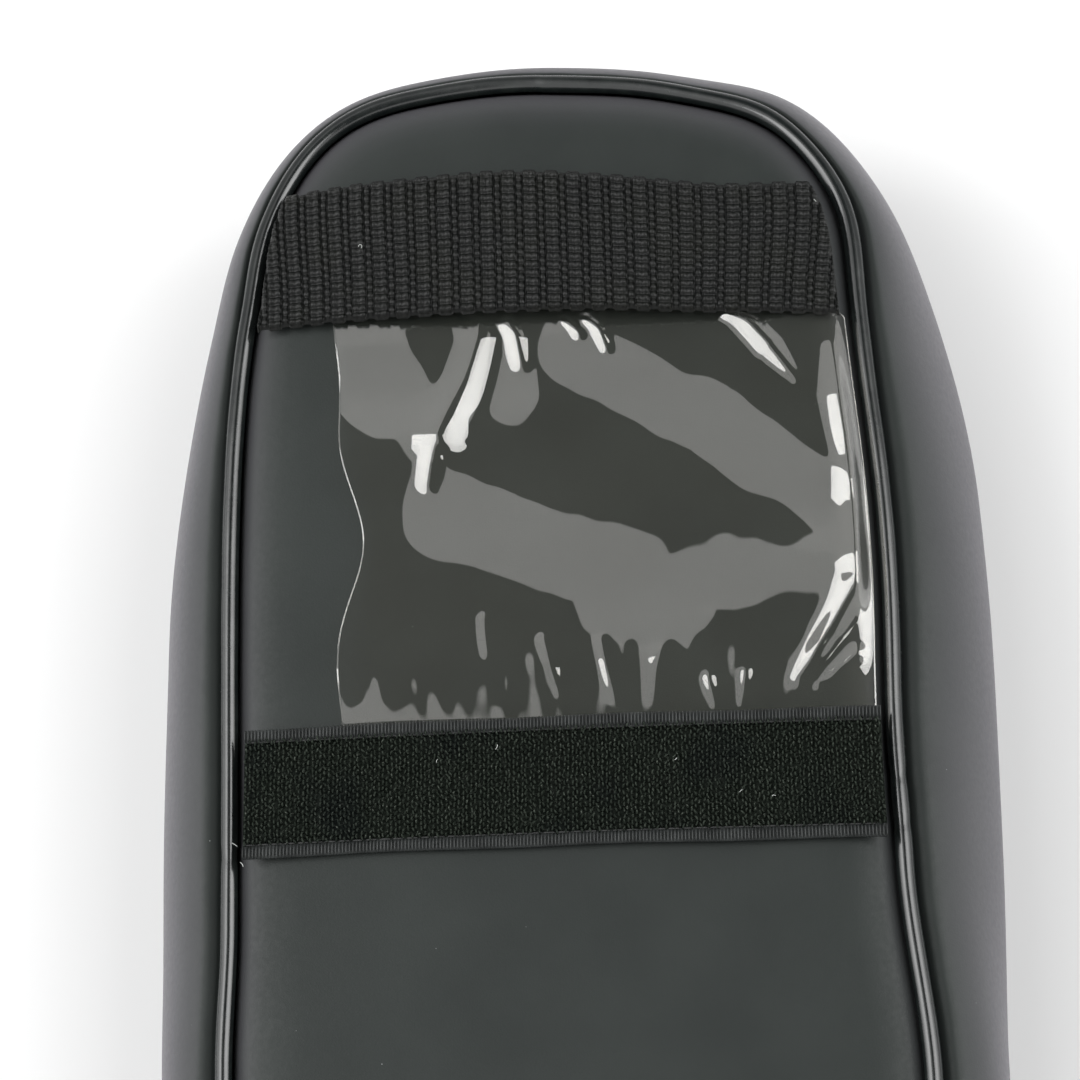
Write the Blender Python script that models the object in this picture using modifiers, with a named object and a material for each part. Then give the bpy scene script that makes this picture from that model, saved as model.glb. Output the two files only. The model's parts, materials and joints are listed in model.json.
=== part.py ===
"""Soft motorcycle tank bag: a padded lid over a bulging side wall, closed by a long zip.

Units are metres, +Z is up and +Y points to the narrow end. The origin is the middle of the
underside. The lid half turns up about a fabric hinge across the narrow end, and two zip
sliders meet at the middle of the wide end.
"""

import math

import bmesh
import bpy
from mathutils import Matrix, Vector

MM = 0.001

# Seam outline, where the lid's piping runs, seen from above.
SEAM_HALF_WIDTH = 64 * MM
WIDEST_Y = -33 * MM
FRONT_LENGTH = 161 * MM  # from the widest line to the narrow end
FRONT_POWER = 4.4  # superellipse exponent of the narrow end
REAR_Y = -128 * MM
CROWN_RADIUS = 85 * MM  # the wide end is one arc between two corner arcs
CORNER_RADIUS = 28 * MM
CROWN_Y = REAR_Y + CROWN_RADIUS
CORNER_X = SEAM_HALF_WIDTH - CORNER_RADIUS
CORNER_Y = CROWN_Y - math.sqrt((CROWN_RADIUS - CORNER_RADIUS) ** 2 - CORNER_X**2)
CORNER_TURN = math.asin(CORNER_X / (CROWN_RADIUS - CORNER_RADIUS))

# Side wall: half an ellipse outside the seam outline.
BULGE = 17.5 * MM
MIDDLE_Z = 30 * MM
HALF_HEIGHT = 27.5 * MM
SKIN = 1.5 * MM
CLOTH = 0.6 * MM
CLEARANCE = 0.3 * MM

# Zip, in the wall's own directions: u out of the wall, v up along it, both from the zip line.
ZIP_Z = 17 * MM
ZIP_GAP = 5 * MM  # from the zip line to each cut edge of the wall
TEETH_IN = -3.2 * MM
TEETH_OUT = -1.0 * MM
TEETH_SLIT = 0.6 * MM
TEETH_HEIGHT = 2.4 * MM
TAPE_WIDTH = 6.4 * MM
HINGE_HALF_WIDTH = 34 * MM

# Top seam and lid layers.
BEAD_RADIUS = 2.1 * MM
TOP_BEAD_Z = 58 * MM
LID_Z = 60.5 * MM
FOAM_THICKNESS = 3.6 * MM
FLANGE_LENGTH = 8.5 * MM
FLANGE_THICKNESS = 1.0 * MM

# Base layers.
BASE_BEAD_OFFSET = 6.5 * MM
BASE_BEAD_Z = 3.2 * MM
BOARD_THICKNESS = 4 * MM
MAGNET_RADIUS = 12 * MM
MAGNET_THICKNESS = 3.4 * MM
MAGNET_X = 36 * MM
MAGNET_FRONT_Y = 78 * MM
MAGNET_REAR_Y = -76 * MM

# Pieces sewn on the lid.
STRAP_Y = 91 * MM
STRAP_WIDTH = 28 * MM
STRAP_THICKNESS = 1.5 * MM
STRAP_RISE = 4.2 * MM
STRAP_SKEW = math.radians(-2.6)  # sewn slightly askew
TAPE_Y = -16 * MM
LOOP_TAPE_WIDTH = 25 * MM
LOOP_TAPE_THICKNESS = 1.4 * MM
LOOP_TAPE_SKEW = math.radians(-1.2)
SEWN_END_OFFSET = -3.4 * MM  # sewn pieces stop this far inside the seam outline
WINDOW_LEFT_X = -41 * MM
WINDOW_THICKNESS = 0.4 * MM
WINDOW_RISE = 2.2 * MM
WINDOW_OVERLAP = 6 * MM  # how far the film runs under the strap and the loop tape

# Zip sliders and pull tabs: t along the zip, v up, u out.
SLIDER_HALF_LENGTH = 6 * MM
SLIDER_HALF_HEIGHT = 4.4 * MM
SLIDER_PLATE = 1.2 * MM
SLIDER_CLEARANCE = 0.5 * MM
SLIDER_REST_X = 6.9 * MM
BRIDGE_HALF_LENGTH = 3.6 * MM
BRIDGE_HALF_WIDTH = 1.0 * MM
BRIDGE_WALL = 1.2 * MM
TUNNEL_HEIGHT = 2.2 * MM
TAB_LENGTH = 24 * MM
TAB_HALF_WIDTH = 3.4 * MM
TAB_THICKNESS = 1.2 * MM
TAB_EYE_HALF_WIDTH = 1.4 * MM
TAB_EYE_LENGTH = 4.6 * MM
TAB_PIN = 1.2 * MM
TAB_HOLE_RADIUS = 1.5 * MM

RING_STATIONS = 40
ZIP_STATIONS = 60
FINE_STEPS = 400

LEATHERETTE = ("leatherette", (0.022, 0.025, 0.024), 0.55, 0.0)
GLOSSY_VINYL = ("glossy_vinyl", (0.012, 0.014, 0.014), 0.2, 0.0)
WEBBING = ("webbing", (0.010, 0.012, 0.011), 0.8, 0.0)
LOOP_PILE = ("loop_pile", (0.008, 0.010, 0.008), 0.95, 0.0)
CLEAR_FILM = ("clear_film", (0.80, 0.82, 0.80), 0.05, 0.0)
FOAM = ("foam", (0.10, 0.10, 0.11), 0.9, 0.0)
LINING = ("lining", (0.03, 0.03, 0.035), 0.85, 0.0)
NYLON = ("nylon", (0.012, 0.012, 0.013), 0.45, 0.0)
ZINC = ("zinc", (0.05, 0.05, 0.055), 0.3, 0.9)
FERRITE = ("ferrite", (0.06, 0.06, 0.065), 0.5, 0.6)


# ---------------------------------------------------------------- scene and outline helpers


def clear_scene():
    for obj in list(bpy.data.objects):
        bpy.data.objects.remove(obj)


def make_collection(name):
    collection = bpy.data.collections.new(name)
    bpy.context.scene.collection.children.link(collection)
    return collection


def material(spec):
    name, colour, roughness, metallic = spec
    found = bpy.data.materials.get(name)
    if found:
        return found
    made = bpy.data.materials.new(name)
    made.use_nodes = True
    shader = made.node_tree.nodes["Principled BSDF"]
    shader.inputs["Base Color"].default_value = (*colour, 1.0)
    shader.inputs["Roughness"].default_value = roughness
    shader.inputs["Metallic"].default_value = metallic
    if name == "clear_film":
        shader.inputs["Alpha"].default_value = 0.3
    return made


def right_half_outline():
    """Fine points of the seam outline from the narrow end's middle down the +X side."""
    points = []
    for i in range(FINE_STEPS + 1):
        turn = (i / FINE_STEPS) ** 2 * math.pi / 2
        x = SEAM_HALF_WIDTH * math.sin(turn) ** (2 / FRONT_POWER)
        y = FRONT_LENGTH * max(math.cos(turn), 0.0) ** (2 / FRONT_POWER)
        points.append(Vector((x, WIDEST_Y + y)))
    for i in range(1, FINE_STEPS + 1):
        y = WIDEST_Y + (CORNER_Y - WIDEST_Y) * i / FINE_STEPS
        points.append(Vector((SEAM_HALF_WIDTH, y)))
    for i in range(1, FINE_STEPS + 1):
        turn = (math.pi / 2 - CORNER_TURN) * i / FINE_STEPS
        points.append(
            Vector((CORNER_X + CORNER_RADIUS * math.cos(turn), CORNER_Y - CORNER_RADIUS * math.sin(turn)))
        )
    for i in range(1, FINE_STEPS + 1):
        turn = CORNER_TURN * (1 - i / FINE_STEPS)
        points.append(Vector((CROWN_RADIUS * math.sin(turn), CROWN_Y - CROWN_RADIUS * math.cos(turn))))
    return points


class Outline:
    """The closed seam outline. A place on it is a share from 0 to 1, clockwise from the narrow end."""

    def __init__(self):
        right = right_half_outline()
        self.points = right + [Vector((-p.x, p.y)) for p in reversed(right[1:-1])]
        count = len(self.points)
        steps = [self.points[(i + 1) % count] - self.points[i] for i in range(count)]
        perimeter = sum(step.length for step in steps)
        self.normals = []
        for i in range(count):
            along = steps[i - 1].normalized() + steps[i].normalized()
            self.normals.append(Vector((-along.y, along.x)).normalized())
        self.shares = [0.0]
        for i in range(count):
            bend = abs(steps[i].angle_signed(steps[(i + 1) % count]))
            # Half the stations go by length and half by bend, so curved stretches get more.
            self.shares.append(self.shares[-1] + steps[i].length / perimeter + bend / (2 * math.pi))
        whole = self.shares[-1]
        self.shares = [share / whole for share in self.shares]

    def at(self, share):
        """(point, outward normal) at a share of the way round."""
        share = share % 1.0
        low, high = 0, len(self.points)
        while high - low > 1:
            middle = (low + high) // 2
            if self.shares[middle] <= share:
                low = middle
            else:
                high = middle
        after = (low + 1) % len(self.points)
        part = (share - self.shares[low]) / max(self.shares[low + 1] - self.shares[low], 1e-12)
        point = self.points[low].lerp(self.points[after], part)
        normal = self.normals[low].lerp(self.normals[after], part).normalized()
        return point, normal

    def share_at_x(self, x):
        """The share on the narrow end's +X side where the outline first reaches x."""
        for i, point in enumerate(self.points):
            if point.x >= x:
                return self.shares[i]
        return 0.25

    def half_width(self, y):
        """The outline's half width at y, in front of the widest line."""
        reach = min(max((y - WIDEST_Y) / FRONT_LENGTH, 0.0), 1.0)
        return SEAM_HALF_WIDTH * (1 - reach**FRONT_POWER) ** (1 / FRONT_POWER)


def wall_point(angle):
    """(offset, z) on the side wall's outer face; angle 0 is the widest line."""
    return BULGE * math.cos(angle), MIDDLE_Z + HALF_HEIGHT * math.sin(angle)


def inside_wall(angle, depth):
    """(offset, z) of a place a depth straight in from the wall's outer face."""
    offset, z = wall_point(angle)
    across = Vector((math.cos(angle) / BULGE, math.sin(angle) / HALF_HEIGHT)).normalized()
    return offset - across.x * depth, z - across.y * depth


ZIP_ANGLE = math.asin((ZIP_Z - MIDDLE_Z) / HALF_HEIGHT)
WALL_UP = Vector((-BULGE * math.sin(ZIP_ANGLE), HALF_HEIGHT * math.cos(ZIP_ANGLE))).normalized()
WALL_OUT = Vector((WALL_UP.y, -WALL_UP.x))


def zip_point(u, v):
    """(offset, z) of a place given out from, and up from, the zip line."""
    place = Vector(wall_point(ZIP_ANGLE)) + WALL_OUT * u + WALL_UP * v
    return place.x, place.y


def wall_angle_at(v):
    """The wall angle of the outer face at height v along the wall from the zip line."""
    return math.asin((ZIP_Z + v * WALL_UP.y - MIDDLE_Z) / HALF_HEIGHT)


# ---------------------------------------------------------------- shape helpers


def link_mesh(name, collection, spec, points, faces):
    mesh = bpy.data.meshes.new(name)
    mesh.from_pydata([tuple(p) for p in points], [], faces)
    mesh.materials.append(material(spec))
    mesh.shade_smooth()
    mesh.set_sharp_from_angle(angle=math.radians(40))
    obj = bpy.data.objects.new(name, mesh)
    collection.objects.link(obj)
    return obj


def loft(name, collection, spec, rings, ring_closed, profile_closed, cap_last=False):
    """Joins rings of points, station by station. rings[j][i] is profile point i at station j."""
    across = len(rings[0])
    points = [p for ring in rings for p in ring]
    faces = []
    last_station = len(rings) if ring_closed else len(rings) - 1
    last_across = across if profile_closed else across - 1
    for j in range(last_station):
        for i in range(last_across):
            a = j * across + i
            b = j * across + (i + 1) % across
            c = ((j + 1) % len(rings)) * across + (i + 1) % across
            d = ((j + 1) % len(rings)) * across + i
            faces.append((a, b, c, d))
    if profile_closed and not ring_closed:
        faces.append(tuple(reversed(range(across))))
        faces.append(tuple(range((len(rings) - 1) * across, len(rings) * across)))
    if cap_last:
        faces.append(tuple(reversed([j * across + across - 1 for j in range(len(rings))])))
    return link_mesh(name, collection, spec, points, faces)


def sweep(name, collection, spec, profile, closed=True, span=None, stations=RING_STATIONS, cap_last=False):
    """Sweeps a profile of (offset, z) places round the seam outline, or along a span of it."""
    first, last = span or (0.0, 1.0)
    count = stations if span is None else stations + 1
    rings = []
    for j in range(count):
        point, normal = OUTLINE.at(first + (last - first) * j / stations)
        rings.append([(*(point + normal * offset), z) for offset, z in profile])
    return loft(name, collection, spec, rings, span is None, closed, cap_last)


def thicken(obj, thickness, outward=False):
    modifier = obj.modifiers.new("thickness", "SOLIDIFY")
    modifier.thickness = thickness
    modifier.offset = 1.0 if outward else -1.0
    modifier.use_even_offset = True
    return obj


def flat_curve(name, collection, spec, loops, bottom, thickness):
    """A flat plate from closed loops of 2D points; inner loops are holes."""
    curve = bpy.data.curves.new(name, "CURVE")
    curve.dimensions = "2D"
    curve.fill_mode = "BOTH"
    curve.extrude = thickness / 2
    curve.materials.append(material(spec))
    for loop in loops:
        spline = curve.splines.new("POLY")
        spline.points.add(len(loop) - 1)
        spline.use_cyclic_u = True
        for place, point in zip(spline.points, loop):
            place.co = (point[0], point[1], 0.0, 1.0)
    obj = bpy.data.objects.new(name, curve)
    obj.location.z = bottom + thickness / 2
    collection.objects.link(obj)
    return obj


def outline_loop(offset, stations=RING_STATIONS):
    loop = []
    for j in range(stations):
        point, normal = OUTLINE.at(j / stations)
        loop.append(point + normal * offset)
    return loop


def circle_loop(x, y, radius, steps=20):
    turns = [2 * math.pi * i / steps for i in range(steps)]
    return [(x + radius * math.cos(t), y + radius * math.sin(t)) for t in turns]


def box(name, collection, spec, low, high):
    """An axis-aligned box between two corners, from Blender's cube."""
    mesh = bpy.data.meshes.new(name)
    shape = bmesh.new()
    size = [high[k] - low[k] for k in range(3)]
    centre = [(high[k] + low[k]) / 2 for k in range(3)]
    bmesh.ops.create_cube(shape, size=1.0, matrix=Matrix.Translation(centre) @ Matrix.Diagonal((*size, 1.0)))
    shape.to_mesh(mesh)
    shape.free()
    mesh.materials.append(material(spec))
    obj = bpy.data.objects.new(name, mesh)
    collection.objects.link(obj)
    return obj


def join_boxes(name, collection, helpers, spec, boxes, frame):
    """One body from overlapping boxes, joined by Boolean unions and placed by frame."""
    body = box(name, collection, spec, *boxes[0])
    body.matrix_world = frame
    for i, corners in enumerate(boxes[1:]):
        tool = box(f"{name}_piece_{i}", helpers, spec, *corners)
        tool.matrix_world = frame
        tool.hide_render = True
        tool.display_type = "WIRE"
        union = body.modifiers.new(f"join_{i}", "BOOLEAN")
        union.operation = "UNION"
        union.object = tool
    return body


def pivot(name, collection, place):
    empty = bpy.data.objects.new(name, None)
    empty.empty_display_size = 10 * MM
    empty.location = place
    collection.objects.link(empty)
    return empty


def hang_on(parent, *children):
    """Parents pieces without moving them."""
    bpy.context.view_layer.update()
    for child in children:
        child.parent = parent
        child.matrix_parent_inverse = parent.matrix_world.inverted()


# ---------------------------------------------------------------- seams


def piping_profile(offset, z, flange_turn):
    """A bead with a sewing flange. The flange leaves the bead at flange_turn from straight down."""
    half = FLANGE_THICKNESS / 2
    open_angle = math.asin(half / BEAD_RADIUS)
    steps = 7
    places = []
    for i in range(steps + 1):
        turn = -math.pi / 2 + open_angle + (2 * math.pi - 2 * open_angle) * i / steps
        places.append(Vector((BEAD_RADIUS * math.cos(turn), BEAD_RADIUS * math.sin(turn))))
    places.append(Vector((-half, -FLANGE_LENGTH)))
    places.append(Vector((half, -FLANGE_LENGTH)))
    turned = Matrix.Rotation(flange_turn, 2)
    return [tuple(Vector((offset, z)) + turned @ place) for place in places]


def binding_profile(offset, z, flange_turn):
    """The open U of binding tape folded over a flange's cut edge."""
    reach = FLANGE_THICKNESS / 2 + CLEARANCE
    depth = 4.2 * MM
    end = -FLANGE_LENGTH - CLEARANCE
    places = [(-reach, end + depth), (-reach, end), (reach, end), (reach, end + depth)]
    turned = Matrix.Rotation(flange_turn, 2)
    return [tuple(Vector((offset, z)) + turned @ Vector(place)) for place in places]


def make_top_seam(collection):
    piping = sweep("top_piping", collection, GLOSSY_VINYL, piping_profile(0.0, TOP_BEAD_Z, 0.0))
    profile = binding_profile(0.0, TOP_BEAD_Z, 0.0)
    binding = sweep("top_seam_binding", collection, LINING, profile, closed=False)
    return [piping, thicken(binding, CLOTH, outward=True)]


def make_base_seam(collection):
    inward = -math.pi / 2
    piping = sweep(
        "base_piping", collection, GLOSSY_VINYL, piping_profile(BASE_BEAD_OFFSET, BASE_BEAD_Z, inward)
    )
    profile = binding_profile(BASE_BEAD_OFFSET, BASE_BEAD_Z, inward)
    binding = sweep("base_seam_binding", collection, LINING, profile, closed=False)
    return [piping, thicken(binding, CLOTH, outward=True)]


# ---------------------------------------------------------------- side wall and zip


def make_upper_wall(collection):
    low, high = wall_angle_at(ZIP_GAP), math.radians(74)
    rows = 7
    profile = [wall_point(low + (high - low) * i / rows) for i in range(rows + 1)]
    profile += [(2.7 * MM, 56.3 * MM), (1.2 * MM, 55.5 * MM)]  # curls in under the bead
    wall = thicken(sweep("upper_gusset", collection, LEATHERETTE, profile, closed=False), SKIN)
    lining_low, lining_high = wall_angle_at(12.5 * MM), math.radians(60)
    rows = 4
    depth = SKIN + 2 * CLEARANCE
    profile = [inside_wall(lining_low + (lining_high - lining_low) * i / rows, depth) for i in range(rows + 1)]
    lining = thicken(sweep("side_lining", collection, LINING, profile, closed=False), CLOTH)
    return [wall, lining]


def make_lower_wall(collection):
    low, high = math.radians(-61), wall_angle_at(-ZIP_GAP)
    rows = 3
    profile = [wall_point(low + (high - low) * i / rows) for i in range(rows + 1)]
    return thicken(sweep("lower_gusset", collection, LEATHERETTE, profile, closed=False), SKIN)


def teeth_profile(side):
    near, far = sorted((side * TEETH_SLIT, side * (TEETH_SLIT + TEETH_HEIGHT)))
    corners = [(TEETH_IN, near), (TEETH_OUT, near), (TEETH_OUT, far), (TEETH_IN, far)]
    return [zip_point(u, v) for u, v in corners]


def tape_profile(side):
    """The zip tape runs from the teeth to behind the wall."""
    start = TEETH_SLIT + TEETH_HEIGHT + 2 * CLEARANCE
    heights = [start, start + TAPE_WIDTH * 0.4, start + TAPE_WIDTH]
    places = [inside_wall(wall_angle_at(side * v), SKIN + 2 * CLEARANCE) for v in heights]
    return places if side > 0 else places[::-1]


def make_zip_half(collection, prefix, side):
    edge = OUTLINE.share_at_x(HINGE_HALF_WIDTH)
    span = (edge, 1 - edge)
    teeth = sweep(
        f"{prefix}_zip_teeth", collection, NYLON, teeth_profile(side), span=span, stations=ZIP_STATIONS
    )
    tape = sweep(
        f"{prefix}_zip_tape",
        collection,
        NYLON,
        tape_profile(side),
        closed=False,
        span=span,
        stations=ZIP_STATIONS,
    )
    return [teeth, thicken(tape, CLOTH)]


def make_hinge_half(collection, name, side):
    """The part of the wall between the zip's two ends, split at the line where it folds."""
    edge = OUTLINE.share_at_x(HINGE_HALF_WIDTH) * 0.9
    near, far = TEETH_SLIT / 2, ZIP_GAP - 3 * CLEARANCE
    heights = (side * near, side * far) if side > 0 else (side * far, side * near)
    profile = [zip_point(0.0, v) for v in heights]
    strip = sweep(name, collection, LEATHERETTE, profile, closed=False, span=(-edge, edge), stations=12)
    return thicken(strip, SKIN)


def make_zip_stop(collection, name, side):
    """A moulded block at the zip's end, just past the last tooth of the lower row."""
    edge = OUTLINE.share_at_x(HINGE_HALF_WIDTH)
    start, end = edge * 0.985, edge * 0.92
    profile = teeth_profile(-1)
    span = (end, start) if side > 0 else (-start, -end)
    return sweep(name, collection, NYLON, profile, span=span, stations=2)


# ---------------------------------------------------------------- lid


def make_lid_layers(collection):
    profile = [
        (-1.2 * MM, 55.5 * MM),
        (-2.8 * MM, 56.9 * MM),
        (-4.2 * MM, 58.6 * MM),
        (-6.6 * MM, 59.9 * MM),
        (-10.5 * MM, LID_Z),
    ]
    panel = sweep("top_panel", collection, LEATHERETTE, profile, closed=False, cap_last=True)
    foam_bottom = LID_Z - SKIN - CLEARANCE - FOAM_THICKNESS
    foam = flat_curve("top_foam", collection, FOAM, [outline_loop(-11 * MM)], foam_bottom, FOAM_THICKNESS)
    lining_bottom = foam_bottom - CLEARANCE - CLOTH
    lining = flat_curve("top_lining", collection, LINING, [outline_loop(-3.4 * MM)], lining_bottom, CLOTH)
    return [thicken(panel, SKIN), foam, lining]


def make_strap(collection):
    """The webbing band across the narrow end, sewn in at both ends and standing up between them."""
    along, across = 14, 2
    turned = Matrix.Rotation(STRAP_SKEW, 2)
    rings = []
    for j in range(along + 1):
        share = 2 * j / along - 1
        ring = []
        for i in range(across + 1):
            y = STRAP_WIDTH * (0.5 - i / across)
            reach = OUTLINE.half_width(STRAP_Y + y) + SEWN_END_OFFSET
            place = turned @ Vector((share * reach, y))
            x = max(-reach, min(reach, place.x))
            z = LID_Z + 1.1 * MM + STRAP_RISE * (1 - share**2)
            ring.append((x, STRAP_Y + place.y, z))
        rings.append(ring)
    strap = loft("webbing_strap", collection, WEBBING, rings, False, False)
    return thicken(strap, STRAP_THICKNESS, outward=True)


def make_loop_tape(collection):
    reach = SEAM_HALF_WIDTH + SEWN_END_OFFSET
    half = LOOP_TAPE_WIDTH / 2
    bottom = LID_Z + 3 * CLEARANCE + WINDOW_THICKNESS
    tape = box(
        "loop_tape", collection, LOOP_PILE, (-reach, -half, 0.0), (reach, half, LOOP_TAPE_THICKNESS)
    )
    tape.location = (0.0, TAPE_Y, bottom)
    tape.rotation_euler.z = LOOP_TAPE_SKEW
    return tape


def make_window(collection):
    """Clear film sewn down on three sides; the side at -X is the pocket's mouth."""
    front = STRAP_Y - STRAP_WIDTH / 2 + WINDOW_OVERLAP
    rear = TAPE_Y + LOOP_TAPE_WIDTH / 2 - WINDOW_OVERLAP
    along, across = 12, 10
    rings = []
    for j in range(along + 1):
        share = j / along
        ring = []
        for i in range(across + 1):
            y = front + (rear - front) * i / across
            right = OUTLINE.half_width(y) + SEWN_END_OFFSET
            x = WINDOW_LEFT_X + (right - WINDOW_LEFT_X) * share
            lift = math.sin(math.pi * i / across) ** 2 * math.cos(math.pi / 2 * share) ** 0.5
            ring.append((x, y, LID_Z + CLEARANCE + WINDOW_RISE * lift))
        rings.append(ring)
    return thicken(loft("document_window", collection, CLEAR_FILM, rings, False, False), WINDOW_THICKNESS, True)


# ---------------------------------------------------------------- base


def make_base_layers(collection):
    panel = flat_curve("base_panel", collection, LEATHERETTE, [outline_loop(3.6 * MM)], 0.0, SKIN)
    board_bottom = SKIN + CLEARANCE
    magnet_places = {
        "magnet_front_left": (-MAGNET_X, MAGNET_FRONT_Y),
        "magnet_front_right": (MAGNET_X, MAGNET_FRONT_Y),
        "magnet_rear_left": (-MAGNET_X, MAGNET_REAR_Y),
        "magnet_rear_right": (MAGNET_X, MAGNET_REAR_Y),
    }
    pockets = [circle_loop(x, y, MAGNET_RADIUS + 2 * CLEARANCE) for x, y in magnet_places.values()]
    board_loop = outline_loop(-4.4 * MM)
    board = flat_curve("base_board", collection, FOAM, [board_loop, *pockets], board_bottom, BOARD_THICKNESS)
    lining_bottom = board_bottom + BOARD_THICKNESS + CLEARANCE
    lining = flat_curve("base_lining", collection, LINING, [outline_loop(1.0 * MM)], lining_bottom, CLOTH)
    magnets = []
    for name, (x, y) in magnet_places.items():
        bpy.ops.mesh.primitive_cylinder_add(
            vertices=20,
            radius=MAGNET_RADIUS,
            depth=MAGNET_THICKNESS,
            location=(x, y, board_bottom + BOARD_THICKNESS / 2),
        )
        magnet = bpy.context.object
        magnet.name = name
        magnet.data.name = name
        magnet.data.materials.append(material(FERRITE))
        for owner in list(magnet.users_collection):
            owner.objects.unlink(magnet)
        collection.objects.link(magnet)
        magnets.append(magnet)
    return [panel, board, lining, *magnets]


# ---------------------------------------------------------------- sliders and pull tabs


def slider_frame(side):
    """The slider's own axes: t along the zip towards +X, v up the wall, u out of it."""
    offset, z = wall_point(ZIP_ANGLE)
    radius = CROWN_RADIUS + offset
    turn = side * math.asin(SLIDER_REST_X / radius)
    outward = Vector((math.sin(turn), -math.cos(turn), 0.0))
    up = Vector((0.0, 0.0, 1.0))
    u_axis = outward * WALL_OUT.x + up * WALL_OUT.y
    v_axis = outward * WALL_UP.x + up * WALL_UP.y
    t_axis = v_axis.cross(u_axis)
    frame = Matrix((t_axis, v_axis, u_axis)).transposed().to_4x4()
    frame.translation = Vector((0.0, CROWN_Y, z)) + outward * radius
    return frame


def make_slider(collection, helpers, name, frame):
    plate_low = TEETH_OUT + SLIDER_CLEARANCE
    plate_high = plate_low + SLIDER_PLATE
    inner_high = TEETH_IN - SLIDER_CLEARANCE
    web = TEETH_SLIT / 2
    length, height = SLIDER_HALF_LENGTH, SLIDER_HALF_HEIGHT
    join = 0.3 * MM
    roof = plate_high + TUNNEL_HEIGHT
    foot = BRIDGE_HALF_LENGTH - BRIDGE_WALL
    wide = BRIDGE_HALF_WIDTH
    boxes = [
        ((-length, -height, plate_low), (length, height, plate_high)),
        ((-length + MM, -web, inner_high - join), (length - MM, web, plate_low + join)),
        ((-length, -height, inner_high - SLIDER_PLATE), (length, web, inner_high)),
        ((-BRIDGE_HALF_LENGTH, -wide, plate_high - join), (-foot, wide, roof + join)),
        ((foot, -wide, plate_high - join), (BRIDGE_HALF_LENGTH, wide, roof + join)),
        ((-BRIDGE_HALF_LENGTH, -wide, roof), (BRIDGE_HALF_LENGTH, wide, roof + 0.8 * BRIDGE_WALL)),
    ]
    return join_boxes(name, collection, helpers, ZINC, boxes, frame)


def pin_height():
    """How far the pull tab's pin sits out from the zip line."""
    return TEETH_OUT + SLIDER_CLEARANCE + SLIDER_PLATE + TUNNEL_HEIGHT / 2


def make_pull_tab(collection, name, frame, side):
    """A flat tab whose end bar is the pin that turns under the slider's bridge."""
    start = -TAB_PIN / 2
    eye_start = TAB_PIN / 2
    rounding = 1.6 * MM
    outer = [(start, -TAB_HALF_WIDTH + rounding), (start, TAB_HALF_WIDTH - rounding)]
    for centre_x, centre_y, first in (
        (TAB_LENGTH - rounding, TAB_HALF_WIDTH - rounding, 90),
        (TAB_LENGTH - rounding, -TAB_HALF_WIDTH + rounding, 0),
    ):
        for step in range(4):
            turn = math.radians(first - 30 * step)
            outer.append((centre_x + rounding * math.cos(turn), centre_y + rounding * math.sin(turn)))
    eye = [
        (eye_start, -TAB_EYE_HALF_WIDTH),
        (eye_start, TAB_EYE_HALF_WIDTH),
        (eye_start + TAB_EYE_LENGTH, TAB_EYE_HALF_WIDTH),
        (eye_start + TAB_EYE_LENGTH, -TAB_EYE_HALF_WIDTH),
    ]
    hole = circle_loop(TAB_LENGTH - 4.5 * MM, 0.0, TAB_HOLE_RADIUS, 12)
    tab = flat_curve(name, collection, ZINC, [outer, eye, hole], 0.0, TAB_THICKNESS)
    facing = Matrix.Rotation(0.0 if side > 0 else math.pi, 4, "Z")
    tab.matrix_world = frame @ Matrix.Translation((0.0, 0.0, pin_height())) @ facing
    return tab


# ---------------------------------------------------------------- assembly

clear_scene()
OUTLINE = Outline()
BAG = make_collection("tank_bag")
HELPERS = make_collection("cutters")

make_base_layers(BAG)
make_base_seam(BAG)
make_lower_wall(BAG)
make_zip_half(BAG, "lower", -1)
make_hinge_half(BAG, "hinge_lower", -1)
make_zip_stop(BAG, "zip_stop_left", -1)
make_zip_stop(BAG, "zip_stop_right", 1)

hinge_offset, hinge_z = wall_point(ZIP_ANGLE)
lid_pivot = pivot("lid_hinge_axis", BAG, (0.0, WIDEST_Y + FRONT_LENGTH + hinge_offset, hinge_z))
lid = make_lid_layers(BAG) + make_top_seam(BAG) + make_upper_wall(BAG)
lid += make_zip_half(BAG, "upper", 1)
lid += [make_hinge_half(BAG, "hinge_upper", 1), make_strap(BAG), make_loop_tape(BAG), make_window(BAG)]
hang_on(lid_pivot, *lid)

for side_name, side_sign in (("left", -1), ("right", 1)):
    slider_axes = slider_frame(side_sign)
    travel = pivot(f"slider_{side_name}_axis", BAG, (0.0, CROWN_Y, hinge_z))
    slider = make_slider(BAG, HELPERS, f"slider_{side_name}", slider_axes)
    pin = pivot(f"pull_{side_name}_axis", BAG, slider_axes @ Vector((0.0, 0.0, pin_height())))
    pull = make_pull_tab(BAG, f"pull_tab_{side_name}", slider_axes, side_sign)
    hang_on(travel, slider, pin)
    hang_on(pin, pull)
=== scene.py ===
"""The tank bag's looks: soft skins, piping, webbing, loop tape, film and zip around the CAD frame."""

import json
import math

import bpy
import numpy as np
from mathutils import Matrix, Vector, noise


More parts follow.
